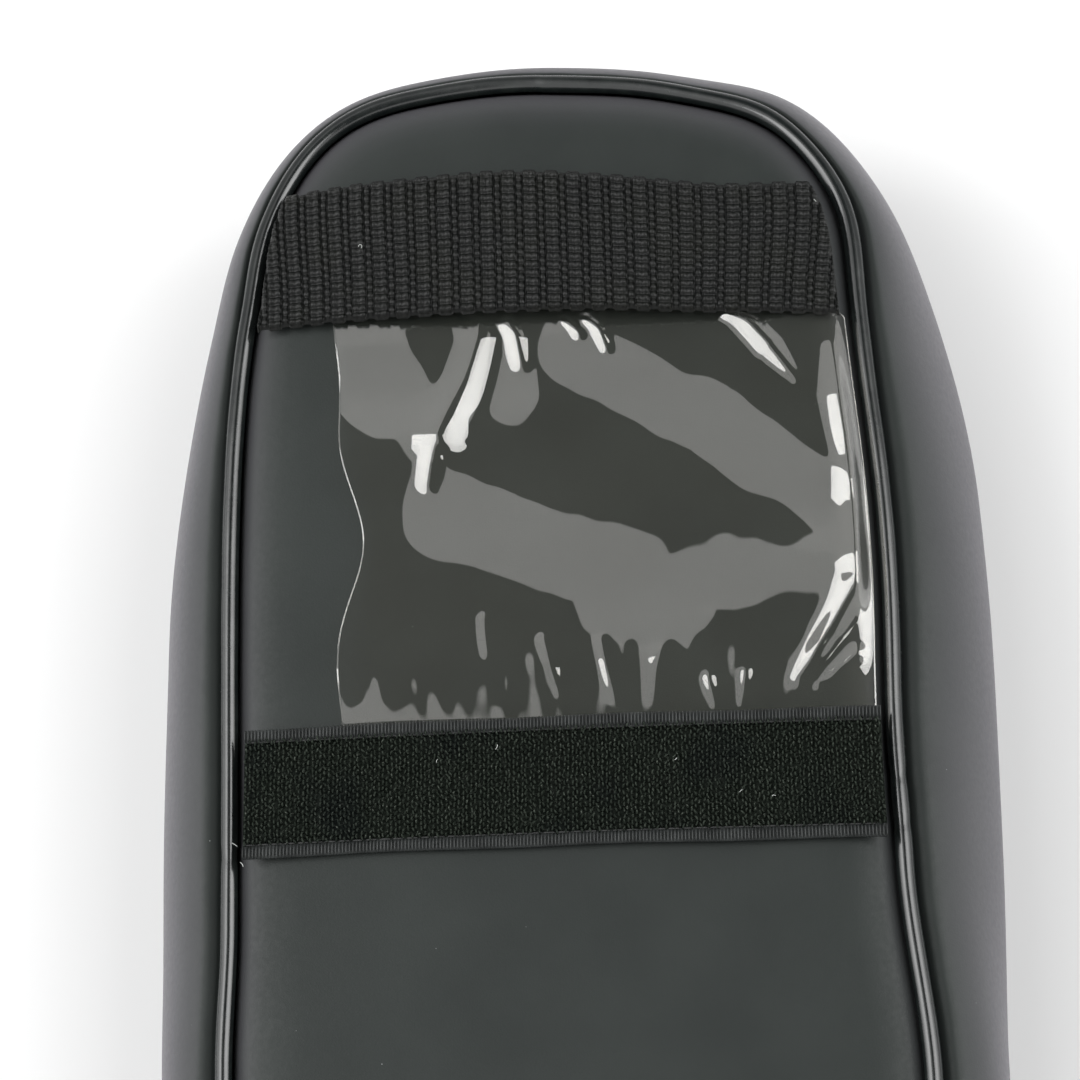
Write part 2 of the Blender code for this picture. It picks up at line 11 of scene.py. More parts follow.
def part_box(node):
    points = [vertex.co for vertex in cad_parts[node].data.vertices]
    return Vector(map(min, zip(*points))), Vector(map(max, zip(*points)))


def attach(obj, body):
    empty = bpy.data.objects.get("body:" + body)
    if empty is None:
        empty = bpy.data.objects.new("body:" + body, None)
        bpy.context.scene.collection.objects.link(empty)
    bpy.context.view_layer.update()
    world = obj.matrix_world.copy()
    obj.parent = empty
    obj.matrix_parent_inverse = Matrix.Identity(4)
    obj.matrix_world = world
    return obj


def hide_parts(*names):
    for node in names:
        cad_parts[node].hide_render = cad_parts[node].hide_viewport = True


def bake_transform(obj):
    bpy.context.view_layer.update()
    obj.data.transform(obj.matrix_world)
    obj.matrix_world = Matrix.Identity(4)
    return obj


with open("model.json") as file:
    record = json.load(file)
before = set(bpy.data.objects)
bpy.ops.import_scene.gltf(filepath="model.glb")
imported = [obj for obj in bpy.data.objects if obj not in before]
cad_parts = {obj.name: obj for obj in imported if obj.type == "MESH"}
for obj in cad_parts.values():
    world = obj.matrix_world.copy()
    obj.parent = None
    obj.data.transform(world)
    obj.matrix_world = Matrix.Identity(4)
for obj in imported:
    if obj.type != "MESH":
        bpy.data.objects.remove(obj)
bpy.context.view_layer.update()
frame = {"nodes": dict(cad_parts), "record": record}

MM = 0.001
SIDES = ((-1, "left"), (1, "right"))
JOINTS = {joint["name"]: joint for joint in frame["record"]["behaviour"]["joints"]}


def low_high(node):
    low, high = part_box(node)
    return np.array(low), np.array(high)


# ------------------------------------------------------------------ sizes, from the frame

CAD_BEAD = 2.1 * MM
piping_low, piping_high = low_high("top_piping")
SEAM_X = piping_high[0] - CAD_BEAD
NARROW_Y = piping_high[1] - CAD_BEAD
WIDE_Y = piping_low[1] + CAD_BEAD
BEAD_Z = piping_high[2] - CAD_BEAD
BEAD = 1.72 * MM
BEAD_FLANGE = 8.3 * MM
SKIN = 1.2 * MM
CLOTH_THICK = 0.5 * MM

WIDEST_Y = -33 * MM
FRONT_POWER = 4.4
CROWN = 85 * MM
CORNER = 28 * MM

LID_Z = low_high("top_panel")[1][2]
HINGE = np.array(JOINTS["lid_hinge"]["pos_m"])
ZIP_Z = HINGE[2]
WALL_MIDDLE = 30 * MM
WALL_HALF = 27.5 * MM
BULGE = low_high("upper_gusset")[1][0] - SEAM_X
ZIP_EDGE = 5 * MM
HINGE_X = 34 * MM

strap_low, strap_high = low_high("webbing_strap")
tape_low, tape_high = low_high("loop_tape")
film_low, film_high = low_high("document_window")

rng = np.random.default_rng(7)


# ------------------------------------------------------------------ outline and wall


def along_path(places, length, path):
    """The path's points at given lengths along it."""
    return np.stack([np.interp(places, length, column) for column in path.T], axis=1)


def fine_outline():
    """Seam outline as (points, outward normals), evenly spaced, clockwise from the narrow end."""
    steps = 700
    turn = np.linspace(0, 1, steps) ** 2 * math.pi / 2
    front = [
        SEAM_X * np.sin(turn) ** (2 / FRONT_POWER),
        WIDEST_Y + (NARROW_Y - WIDEST_Y) * np.abs(np.cos(turn)) ** (2 / FRONT_POWER),
    ]
    crown_y = WIDE_Y + CROWN
    corner_x = SEAM_X - CORNER
    corner_y = crown_y - math.sqrt((CROWN - CORNER) ** 2 - corner_x**2)
    corner_turn = math.asin(corner_x / (CROWN - CORNER))
    side = [np.full(steps, SEAM_X), np.linspace(WIDEST_Y, corner_y, steps)]
    sweep = np.linspace(0, math.pi / 2 - corner_turn, steps)
    corner = [corner_x + CORNER * np.cos(sweep), corner_y - CORNER * np.sin(sweep)]
    sweep = np.linspace(corner_turn, 0, steps)
    crown = [CROWN * np.sin(sweep), crown_y - CROWN * np.cos(sweep)]
    right = np.concatenate([np.array(part).T[1:] for part in (front, side, corner, crown)])
    right = np.concatenate([[[0.0, NARROW_Y]], right])
    ring = np.concatenate([right, right[-2:0:-1] * (-1, 1), right[:1]])
    length = np.concatenate([[0], np.cumsum(np.linalg.norm(np.diff(ring, axis=0), axis=1))])
    even = np.linspace(0, length[-1], 3001)[:-1]
    points = along_path(even, length, ring)
    along = np.roll(points, -6, 0) - np.roll(points, 6, 0)
    normals = np.stack([-along[:, 1], along[:, 0]], axis=1)
    return points, normals / np.linalg.norm(normals, axis=1, keepdims=True), length[-1]


OUTLINE, OUTWARD, PERIMETER = fine_outline()


def rim(s):
    """Seam outline points and outward normals at shares s of the way round."""
    s = np.asarray(s, float) % 1.0 * len(OUTLINE)
    low = np.floor(s).astype(int) % len(OUTLINE)
    part = (s - np.floor(s))[..., None]
    high = (low + 1) % len(OUTLINE)
    point = OUTLINE[low] * (1 - part) + OUTLINE[high] * part
    normal = OUTWARD[low] * (1 - part) + OUTWARD[high] * part
    return point, normal


def shares(count):
    """Even shares of the way round, for a closed ring of count stations."""
    return np.arange(count) / count


def share_at_x(x):
    """Share on the +X side where the narrow end's outline first reaches x."""
    return float(np.argmax(OUTLINE[:, 0] >= x)) / len(OUTLINE)


def wall(angle):
    """(offset, z) of the side wall's face; angle 0 is its widest line."""
    return BULGE * np.cos(angle), WALL_MIDDLE + WALL_HALF * np.sin(angle)


ZIP_ANGLE = math.asin((ZIP_Z - WALL_MIDDLE) / WALL_HALF)
WALL_UP = np.array([-BULGE * math.sin(ZIP_ANGLE), WALL_HALF * math.cos(ZIP_ANGLE)])
WALL_UP /= np.linalg.norm(WALL_UP)
WALL_OUT = np.array([WALL_UP[1], -WALL_UP[0]])
ZIP_OFFSET = BULGE * math.cos(ZIP_ANGLE)


def wall_angle(v):
    return np.arcsin((ZIP_Z + v * WALL_UP[1] - WALL_MIDDLE) / WALL_HALF)


def on_wall(v, depth):
    """(offset, z) a height v up the wall from the zip line and a depth in from its face."""
    angle = wall_angle(np.asarray(v, float))
    offset, z = wall(angle)
    out = np.stack([np.cos(angle) / BULGE, np.sin(angle) / WALL_HALF])
    out /= np.linalg.norm(out, axis=0)
    return offset - out[0] * depth, z - out[1] * depth


def around(s, offset, z):
    """Points at offsets out from the outline: s is (n,), while offset and z broadcast over its rows."""
    point, normal = rim(s)
    offset = np.broadcast_to(offset, (len(point),) + np.shape(offset)[-1:])
    z = np.broadcast_to(z, offset.shape)
    xy = point[:, None, :] + normal[:, None, :] * offset[..., None]
    return np.concatenate([xy, z[..., None]], axis=2)


def zip_slack(point):
    """How far out the zip line runs, as a share: full wherever a slider can be."""
    x, y = point[:, 0], point[:, 1]
    left_share = 1 - 0.47 * smooth(y, 20 * MM, 118 * MM)
    right_share = 1 - 0.44 * smooth(y, 40 * MM, 124 * MM) - 0.06 * bell(y, -68 * MM, 24 * MM)
    return left_to_right(x, left_share, right_share)


def wall_points(s, offset, z):
    """Wall points with the slack taken up, fading to nothing at the base seam."""
    point, _ = rim(s)
    upper = smooth(z, ZIP_Z + 5 * MM, ZIP_Z + 17 * MM)[None, :]
    lower = smooth(z, 5.6 * MM, ZIP_Z - 2 * MM)[None, :]
    share = zip_slack(point)[:, None] * (1 - upper) + slacken(point)[:, None] * upper
    return around(s, offset[None, :] * (1 - (1 - share) * lower), z)


def smooth(x, low, high):
    t = np.clip((x - low) / (high - low), 0, 1)
    return t * t * (3 - 2 * t)


def bell(x, middle, width):
    return np.exp(-(((x - middle) / width) ** 2))


def left_to_right(x, left_share, right_share):
    """Fades from the left hand side's share to the right hand side's across the middle."""
    part = smooth(x, -20 * MM, 20 * MM)
    return left_share * (1 - part) + right_share * part


# Swellings of the lid seam, each as (height, middle, half width) in mm: down the right side, and
# across the narrow end.
SHOULDER = ((2.3, 99, 15), (-0.6, 62, 18), (-0.8, -8, 20))
ARCH = ((2.3, -9, 20), (1.2, -38, 15), (-2.3, 34, 14))


def swells(x, table):
    """Sum of a table's swellings at x, in mm."""
    return sum(height * bell(x, middle * MM, width * MM) for height, middle, width in table)


def settle(points):
    """The soft lid's dents and swellings: shifts that fade to nothing at the zip."""
    x, y = points[..., 0], points[..., 1]
    grip = smooth(points[..., 2], ZIP_Z + 6 * MM, BEAD_Z)
    right = smooth(x, 10 * MM, SEAM_X)
    left = smooth(-x, 10 * MM, SEAM_X)
    shoulder = swells(y, SHOULDER)
    hip = 2.9 * smooth(y, -34 * MM, -74 * MM)
    slump = 0.3 + 1.1 * smooth(y, 84 * MM, 104 * MM) + 0.9 * smooth(y, -40 * MM, -66 * MM)
    arch = swells(x, ARCH)
    moved = points.copy()
    moved[..., 0] += grip * MM * (right * (shoulder + hip) - left * slump)
    moved[..., 1] += grip * MM * arch * smooth(y, 60 * MM, NARROW_Y)
    return moved


def slacken(points):
    """The upper wall's slack: it bulges less round the narrow end and at the right hand corner."""
    x, y = points[..., 0], points[..., 1]
    left_share = 1.09 - 0.44 * smooth(y, 20 * MM, 116 * MM)
    right_share = 1.12 - 0.45 * smooth(y, 44 * MM, 123 * MM) - 0.18 * bell(y, -75 * MM, 32 * MM)
    return left_to_right(x, left_share, right_share)


def push_out(points, s, amount):
    """Moves rows of points straight out of the outline, in place."""
    _, normal = rim(s)
    points[..., :2] += normal[:, None] * amount[..., None]


def wave(points, size, amount, seed):
    """Smooth noise at points, about plus or minus amount."""
    flat = points.reshape(-1, points.shape[-1])
    shift = Vector((seed, seed * 0.7, seed * 0.3))
    values = [noise.noise(Vector(p) / size + shift) for p in flat]
    return amount * np.array(values).reshape(points.shape[:-1])


# ------------------------------------------------------------------ mesh helpers


def mesh_of(name, points, faces):
    """A smooth mesh from points and groups of faces; each group is (n, corners)."""
    points = np.asarray(points, np.float32).reshape(-1, 3)
    corners = np.concatenate([group.ravel() for group in faces]).astype(np.int32)
    totals = np.concatenate([np.full(len(group), group.shape[1]) for group in faces])
    mesh = bpy.data.meshes.new(name)
    mesh.vertices.add(len(points))
    mesh.vertices.foreach_set("co", points.ravel())
    mesh.loops.add(len(corners))
    mesh.loops.foreach_set("vertex_index", corners)
    mesh.polygons.add(len(totals))
    mesh.polygons.foreach_set("loop_start", np.cumsum(totals) - totals)
    mesh.polygons.foreach_set("loop_total", totals)
    mesh.shade_smooth()
    mesh.update(calc_edges=True)
    mesh.validate()
    return mesh


def grid_faces(nu, nv, wrap_u=False, wrap_v=False):
    """Four-sided faces between the points of a grid, joined round at either end when wrapped."""
    index = np.arange(nu * nv).reshape(nu, nv)
    if wrap_u:
        index = np.concatenate([index, index[:1]], axis=0)
    if wrap_v:
        index = np.concatenate([index, index[:, :1]], axis=1)
    corners = (index[:-1, :-1], index[:-1, 1:], index[1:, 1:], index[1:, :-1])
    return np.stack([corner.ravel() for corner in corners], axis=1)


def show(obj):
    bpy.context.scene.collection.objects.link(obj)


def finish_piece(obj, body, surface, hides=()):
    """Shows a piece in its material, riding a body in place of the CAD nodes that it hides."""
    show(obj)
    if not obj.data.materials:
        obj.data.materials.append(surface)
    if body:
        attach(obj, body)
    if hides:
        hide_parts(*hides)
    return obj


def thicken(obj, thickness, outward):
    modifier = obj.modifiers.new("thickness", "SOLIDIFY")
    modifier.thickness = thickness
    modifier.offset = 1.0 if outward else -1.0
    modifier.use_even_offset = False
    return modifier


def skin(name, points, body, surface, thickness, wrap=False, hides=(), outward=False):
    """A sheet from a grid of points, given its thickness by Solidify."""
    mesh = mesh_of(name, points, [grid_faces(*points.shape[:2], wrap_u=wrap)])
    obj = bpy.data.objects.new(name, mesh)
    thicken(obj, thickness, outward)
    return finish_piece(obj, body, surface, hides)


def loose(name, points, faces, body, surface, hides=()):
    obj = bpy.data.objects.new(name, mesh_of(name, points, faces))
    return finish_piece(obj, body, surface, hides)


def slab(name, top, under, surface, hides):
    """A band sewn on the lid, between two grids of points and closed round its edge."""
    nx, ny = top.shape[:2]
    count = nx * ny
    index = np.arange(count).reshape(nx, ny)
    ring = np.concatenate([index[:-1, 0], index[-1, :-1], index[:0:-1, -1], index[0, :0:-1]])
    after = np.roll(ring, -1)
    walls = np.stack([ring, after, after + count, ring + count], axis=1)[:, ::-1]
    faces = [grid_faces(nx, ny)[:, ::-1], grid_faces(nx, ny) + count, walls]
    points = settle(np.concatenate([top.reshape(-1, 3), under.reshape(-1, 3)]))
    return loose(name, points, faces, "lid", surface, hides)


def repeated(points, faces, count):
    """Points of count equal copies, flattened, with one copy's faces repeated for each."""
    size = points.size // 3 // count
    shift = (np.arange(count) * size)[:, None, None]
    faces = [np.asarray(group) for group in faces]
    return points.reshape(-1, 3), [(group[None] + shift).reshape(-1, group.shape[1]) for group in faces]


def joined(points, faces, more_points, more_faces):
    """Two sets of points and faces as one."""
    more_faces = [group + len(points) for group in more_faces]
    return np.concatenate([points, more_points]), faces + more_faces


def copies(shape, faces, origins, axes):
    """Many copies of one small shape. axes is (n, 3, 3), whose rows are the copy's own x, y and z."""
    shape = np.asarray(shape, float)
    points = origins[:, None, :] + np.einsum("vk,nkj->nvj", shape, axes)
    return repeated(points, faces, len(origins))


def capsule(length, radius_y, radius_z, sides=6):
    """A stubby rounded bar along x, as (points, face groups)."""
    stations = np.array([-0.5, -0.42, -0.2, 0.2, 0.42, 0.5]) * length
    girth = np.array([0.35, 0.8, 1.0, 1.0, 0.8, 0.35])
    turn = np.arange(sides) * 2 * math.pi / sides
    ring = np.stack([np.zeros(sides), np.cos(turn) * radius_y, np.sin(turn) * radius_z], axis=1)
    points = [ring * (1, g, g) + (x, 0, 0) for x, g in zip(stations, girth)]
    count = len(stations)
    faces = [grid_faces(count, sides, wrap_v=True)[:, ::-1]]
    faces.append(np.arange(sides)[None, :])
    faces.append(((count - 1) * sides + np.arange(sides))[None, ::-1])
    return np.concatenate(points), faces


def threads(path, radius, sides):
    """Tubes along many short paths at once: path is (n, k, 3)."""
    along = np.gradient(path, axis=1)
    along /= np.linalg.norm(along, axis=2, keepdims=True) + 1e-12
    side = np.cross(along, np.array([0.31, 0.21, 0.93]))
    side /= np.linalg.norm(side, axis=2, keepdims=True) + 1e-12
    up = np.cross(side, along)
    turn = np.arange(sides) * 2 * math.pi / sides
    ring = side[:, :, None] * np.cos(turn)[:, None] + up[:, :, None] * np.sin(turn)[:, None]
    points = path[:, :, None] + ring * radius
    n, k = path.shape[:2]
    faces = [grid_faces(k, sides, wrap_v=True), np.arange(sides)[None, ::-1]]
    faces.append(((k - 1) * sides + np.arange(sides))[None, :])
    return repeated(points, faces, n)


def stitch_run(name, path, up, body, surface, pitch=3.0 * MM, radius=0.22 * MM):
    """Sewing stitches along a path (n, 3); up is the cloth's outward direction, once or at each point."""
    steps = np.linalg.norm(np.diff(path, axis=0), axis=1)
    length = np.concatenate([[0], np.cumsum(steps)])
    middle = np.arange(pitch / 2, length[-1] - pitch / 2, pitch)
    place = along_path(middle, length, path)
    ahead = along_path(middle + pitch / 2, length, path)
    lift = along_path(middle, length, np.broadcast_to(up, path.shape))
    x_axis = ahead - place
    x_axis /= np.linalg.norm(x_axis, axis=1, keepdims=True)
    y_axis = np.cross(lift, x_axis)
    y_axis /= np.linalg.norm(y_axis, axis=1, keepdims=True)
    axes = np.stack([x_axis, y_axis, np.cross(x_axis, y_axis)], axis=1)
    shape, faces = capsule(pitch * 0.8, radius, radius * 0.8)
    points, faces = copies(shape, faces, place, axes)
    return loose(name, points, faces, body, surface)


# ------------------------------------------------------------------ materials


class Tree:
    """Short calls for building a node tree."""

    def __init__(self, tree):
        self.tree = tree

    def add(self, kind, **settings):
        node = self.tree.nodes.new(kind)
        for key, value in settings.items():
            setattr(node, key, value)
        return node

    def put(self, socket, value):
        """Sets a socket to another's output, to a number or to an (r, g, b)."""
        if isinstance(value, bpy.types.NodeSocket):
            self.tree.links.new(value, socket)
        else:
            socket.default_value = (*value, 1.0) if isinstance(value, tuple) else value

    def math(self, operation, a, b=0.0):
        node = self.add("ShaderNodeMath", operation=operation)
        self.put(node.inputs[0], a)
        self.put(node.inputs[1], b)
        return node.outputs[0]

    def ramp(self, value, low, high, to_low=0.0, to_high=1.0):
        node = self.add("ShaderNodeMapRange")
        self.put(node.inputs["Value"], value)
        for key, number in zip(("From Min", "From Max", "To Min", "To Max"), (low, high, to_low, to_high)):
            node.inputs[key].default_value = number
        return node.outputs["Result"]


class Nodes(Tree):
    """One material's node tree; patterns are placed by object coordinates, in metres."""

    INPUTS = {
        "base": "Base Color",
        "rough": "Roughness",
        "metal": "Metallic",
        "specular": "Specular IOR Level",
        "sheen": "Sheen Weight",
        "coat": "Coat Weight",
        "coat_rough": "Coat Roughness",
    }

    def __init__(self, name, slot):
        self.material = bpy.data.materials.new(name)
        self.material.use_nodes = True
        self.material["slot"] = slot
        super().__init__(self.material.node_tree)
        self.shader = self.tree.nodes["Principled BSDF"]
        self.coords = self.add("ShaderNodeTexCoord").outputs["Object"]

    def texture(self, kind, scale, output, inputs=(), **settings):
        """A texture node's output at a scale in object coordinates, one number or one for each axis."""
        place = self.add("ShaderNodeMapping")
        self.put(place.inputs["Vector"], self.coords)
        place.inputs["Scale"].default_value = scale if hasattr(scale, "__len__") else (scale,) * 3
        node = self.add(kind, **settings)
        self.put(node.inputs["Vector"], place.outputs["Vector"])
        for key, value in (("Scale", 1.0), *inputs):
            node.inputs[key].default_value = value
        return node.outputs[output]

    def noise(self, scale, detail=4.0):
        return self.texture("ShaderNodeTexNoise", scale, "Fac", (("Detail", detail),))

    def cells(self, scale):
        return self.texture("ShaderNodeTexVoronoi", scale, "Distance")

    def bands(self, direction, scale):
        """Slightly wavy stripes across one axis."""
        wavy = (("Distortion", 0.4),)
        return self.texture("ShaderNodeTexWave", scale, "Fac", wavy, bands_direction=direction)

    def mix(self, factor, a, b):
        """Colour between a and b, each a socket or an (r, g, b)."""
        node = self.add("ShaderNodeMix", data_type="RGBA")
        sockets = {socket.identifier: socket for socket in (*node.inputs, *node.outputs)}
        self.put(sockets["Factor_Float"], factor)
        self.put(sockets["A_Color"], a)
        self.put(sockets["B_Color"], b)
        return sockets["Result_Color"]

    def bump(self, height, distance, strength):
        node = self.add("ShaderNodeBump")
        node.inputs["Strength"].default_value = strength
        node.inputs["Distance"].default_value = distance
        self.put(node.inputs["Height"], height)
        if self.shader.inputs["Normal"].is_linked:
            self.put(node.inputs["Normal"], self.shader.inputs["Normal"].links[0].from_socket)
        self.put(self.shader.inputs["Normal"], node.outputs["Normal"])

    def set(self, **values):
        for key, value in values.items():
            self.put(self.shader.inputs[self.INPUTS[key]], value)

    def grazing(self, blend):
        """0 where the face looks at the viewer, 1 where it is seen edge on."""
        node = self.add("ShaderNodeLayerWeight")
        node.inputs["Blend"].default_value = blend
        return node.outputs["Facing"]


def leatherette_surface(name, deep, pale, rough):
    """Smooth matt vinyl with a very fine grain, faint cloudiness, a few dust specks and a painted sheen:
    the colour turns paler purple-grey where the face is seen edge on.
    """
    m = Nodes(name, "leatherette")
    cloud = m.ramp(m.noise(45.0, 3.0), 0.35, 0.65)
    body_colour = m.mix(cloud, deep, pale)
    # painted sheen: the base colour fades to a paler purple-grey at grazing angles, standing in for the
    # light caught along the walls' rims
    edge = m.mix(m.ramp(m.grazing(0.35), 0.08, 0.85), body_colour, (0.13, 0.125, 0.138))
    dust = m.ramp(m.cells(420.0), 0.045, 0.03)
    rare = m.ramp(m.noise(160.0, 1.0), 0.66, 0.7)
    speck = m.math("MULTIPLY", dust, rare)
    m.set(base=m.mix(speck, edge, (0.32, 0.33, 0.33)))
    m.set(rough=m.ramp(m.noise(900.0, 2.0), 0.3, 0.7, rough - 0.04, rough + 0.05), specular=0.26)
    m.bump(m.cells(2600.0), 0.00004, 0.35)
    m.bump(m.noise(700.0, 4.0), 0.00005, 0.3)
    return m.material


def vinyl_surface():
    """Glossy piping vinyl, whose shine narrows to a line along the top of the bead."""
    m = Nodes("piping_vinyl", "glossy_vinyl")
    m.set(base=m.mix(m.ramp(m.noise(300.0), 0.4, 0.7), (0.006, 0.008, 0.008), (0.012, 0.015, 0.014)))
    side = m.grazing(0.5)
    m.set(rough=m.ramp(m.noise(500.0, 3.0), 0.3, 0.7, 0.2, 0.28))
    m.set(specular=m.ramp(side, 0.07, 0.2, 0.6, 0.25))
    m.set(coat=m.ramp(side, 0.07, 0.2, 0.95, 0.2), coat_rough=0.14)
    m.bump(m.noise(420.0, 3.0), 0.00008, 0.35)
    return m.material


def webbing_surface():
    """Black yarn: fine filaments across each rib, a soft shine and a few pale wisps."""
    m = Nodes("webbing_yarn", "webbing")
    strands = m.noise((5200.0, 900.0, 900.0), 3.0)
    tone = m.mix(m.ramp(strands, 0.35, 0.7), (0.0008, 0.0012, 0.001), (0.0055, 0.0065, 0.0058))
    green = m.ramp(m.noise(110.0, 1.0), 0.45, 0.62)
    m.set(base=m.mix(m.math("MULTIPLY", green, 0.25), tone, (0.005, 0.006, 0.0025)))
    m.set(rough=0.36, specular=0.3)
    m.bump(strands, 0.00016, 0.8)
    m.bump(m.noise(2600.0, 2.0), 0.0001, 0.5)
    return m.material


def pile_surface(name, dark, pale, glint_painted):
    """Napped yarn: clumps of dark and pale, a few painted glints (bright spots in the colour standing in
    for highlights on the loops) and a cool tint in places.
    """
    m = Nodes(name, "loop_pile")
    tone = m.mix(m.ramp(m.noise(1500.0, 3.0), 0.4, 0.7), dark, pale)
    # painted highlights: random bright spots in the colour stand in for glints on the loops
    tone = m.mix(m.ramp(m.noise(2400.0, 1.0), 0.64, 0.72), tone, glint_painted)
    cool = m.math("MULTIPLY", m.ramp(m.noise(70.0, 1.0), 0.5, 0.7), 0.3)
    m.set(base=m.mix(cool, tone, (0.004, 0.005, 0.008)), rough=0.85, specular=0.03)
    m.bump(m.noise(3000.0, 2.0), 0.0001, 0.7)
    return m.material


def film_surface():
    """Clear film: see-through, with a mirror-like face at every wrinkle."""
    m = Nodes("clear_film", "clear_film")
    clear = m.add("ShaderNodeBsdfTransparent")
    haze = m.ramp(m.noise(60.0, 3.0), 0.35, 0.7)
    m.put(clear.inputs["Color"], m.mix(haze, (0.955, 0.947, 0.925), (0.935, 0.925, 0.9)))
    fresnel = m.add("ShaderNodeFresnel")
    fresnel.inputs["IOR"].default_value = 1.8
    shine = m.add("ShaderNodeBsdfGlossy")
    shallow = m.ramp(m.grazing(0.5), 0.35, 0.7, 0.11, 0.045)
    m.put(shine.inputs["Color"], m.math("MINIMUM", fresnel.outputs[0], shallow))
    m.put(shine.inputs["Roughness"], 0.02)
    both = m.add("ShaderNodeAddShader")
    m.put(both.inputs[0], clear.outputs[0])
    m.put(both.inputs[1], shine.outputs[0])
    m.put(m.tree.nodes["Material Output"].inputs["Surface"], both.outputs[0])
    m.tree.nodes.remove(m.shader)
    return m.material


def film_edge_highlight_surface():
    """The film's cut edge, painted pale grey as a highlight: it stands in for the bright line of light
    caught along a clear film's edge.
    """
    m = Nodes("film_edge_painted_highlight", "clear_film")
    m.set(base=m.mix(m.noise(800.0), (0.17, 0.175, 0.17), (0.28, 0.285, 0.28)), rough=0.25)
    return m.material


def woven_surface(name, slot, colour, pitch):
    """Plain weave of a given thread pitch."""
    m = Nodes(name, slot)
    count = math.pi / pitch / 2
    warp, weft, rise = (m.bands(direction, count) for direction in "XYZ")
    weave = m.math("MULTIPLY", m.math("MAXIMUM", warp, rise), weft)
    dark = tuple(c * 0.45 for c in colour)
    m.set(base=m.mix(m.math("ADD", weave, m.math("MULTIPLY", m.noise(120.0), 0.3)), dark, colour))
    m.set(rough=0.8, specular=0.3, sheen=0.15)
    m.bump(weave, 0.00012, 0.8)
    return m.material


def plain_surface(name, slot, dark, light, rough, metal=0.0, grain=900.0, relief=0.00005):
    """Moulded or cast material with fine grain and patchy roughness."""
    m = Nodes(name, slot)
    tone = m.mix(m.ramp(m.noise(grain / 4, 5.0), 0.3, 0.7), dark, light)
    m.set(base=tone, metal=metal, rough=m.ramp(m.noise(grain, 3.0), 0.3, 0.7, rough - 0.08, rough + 0.08))
    m.bump(m.noise(grain, 3.0), relief, 0.5)
    return m.material


LEATHERETTE = leatherette_surface("leatherette", (0.0185, 0.0225, 0.021), (0.0225, 0.027, 0.0252), 0.5)
VINYL = vinyl_surface()
WEBBING = webbing_surface()
PILE = pile_surface("loop_pile_yarn", (0.014, 0.018, 0.014), (0.043, 0.052, 0.042), (0.09, 0.1, 0.085))
# A darker copy of the pile yarn for the ground cloth under the loops: painted shade standing in for the
# shadow between the loops.
SHADED_PILE_GROUND = pile_surface(
    "loop_pile_ground_painted_shade", (0.007, 0.009, 0.007), (0.017, 0.021, 0.017), (0.04, 0.045, 0.038)
)
FILM = film_surface()
FILM_EDGE_HIGHLIGHT = film_edge_highlight_surface()
SELVEDGE = plain_surface("tape_selvedge", "loop_pile", (0.008, 0.01, 0.0095), (0.03, 0.034, 0.033), 0.5)
LINING = woven_surface("lining_cloth", "lining", (0.055, 0.056, 0.062), 0.45 * MM)
ZIP_TAPE = woven_surface("zip_tape_cloth", "zip_tape", (0.022, 0.022, 0.024), 0.5 * MM)
COIL = plain_surface("zip_coil", "nylon", (0.010, 0.010, 0.011), (0.02, 0.02, 0.022), 0.34)
THREAD = plain_surface(
    "sewing_thread", "nylon", (0.012, 0.013, 0.013), (0.035, 0.037, 0.036), 0.5, grain=4000.0
)
FOAM = plain_surface(
    "padding_foam", "foam", (0.11, 0.11, 0.12), (0.17, 0.17, 0.18), 0.9, grain=2400.0, relief=0.0003
)
BOARD = plain_surface("stiffener_board", "stiffener", (0.05, 0.05, 0.054), (0.075, 0.075, 0.08), 0.6)
ZINC = plain_surface("painted_zinc", "zinc", (0.035, 0.035, 0.038), (0.05, 0.05, 0.054), 0.3, 0.85)
FERRITE = plain_surface("ferrite", "ferrite", (0.05, 0.05, 0.053), (0.1, 0.1, 0.105), 0.5, 0.6)
UNDERSIDE = plain_surface("non_slip_sheet", "underside", (0.018, 0.018, 0.019), (0.035, 0.035, 0.037), 0.75)
LINT = plain_surface("lint", "loop_pile", (0.35, 0.37, 0.35), (0.6, 0.62, 0.6), 0.8, grain=3000.0)


# ------------------------------------------------------------------ soft sheets


# Edges of the flat sheets, as offsets out from the lid seam's outline.
PANEL_EDGE = -1.1 * MM
FOAM_EDGE = -11.5 * MM
LID_LINING_EDGE = -3.8 * MM
FLOOR_LINING_EDGE, FLOOR_LINING_RISE = 6.2 * MM, 2.4 * MM
BASE_EDGE = 3.4 * MM
SPINE_END = 62 * MM  # how far the sheets' middle line stays short of each end
MERGE = 0.05 * MM


def filled(edge_offset, depths, heights, stations, inner, crown=0.0):
    """Rings of points that fill the outline: heights over depths at the rim, then on to the middle line."""
    point, normal = rim(shares(stations))
    start = point + normal * edge_offset
    spine_y = np.clip(point[:, 1], WIDE_Y + SPINE_END, NARROW_Y - SPINE_END)
    spine = np.stack([np.zeros(stations), spine_y], axis=1)
    reach = np.linalg.norm(start - spine, axis=1)
    rings = [1 - depth / reach for depth in depths]
    rings += [rings[-1] * (1 - (i + 1) / inner) for i in range(inner)]
    levels = []
    for share, height in zip(rings, [*heights, *[heights[-1]] * inner]):
        xy = spine + (start - spine) * share[:, None]
        rise = crown * (1 - np.clip(share, 0, 1) ** 2)
        levels.append(np.concatenate([xy, (height + rise)[:, None]], axis=1))
    return np.stack(levels, axis=1)


def sheet(name, points, body, surface, thickness, hides):
    """A filled sheet, whose last ring is merged along the middle line to make it one surface."""
    middle = points[:, -1].copy()
    middle[:, 0] = 0.0
    points[:, -1] = (middle + middle[-np.arange(len(middle)) % len(middle)]) / 2
    obj = skin(name, points, body, surface, thickness, True, hides)
    weld = obj.modifiers.new("middle", "WELD")
    weld.merge_threshold = MERGE
    obj.modifiers.move(len(obj.modifiers) - 1, 0)


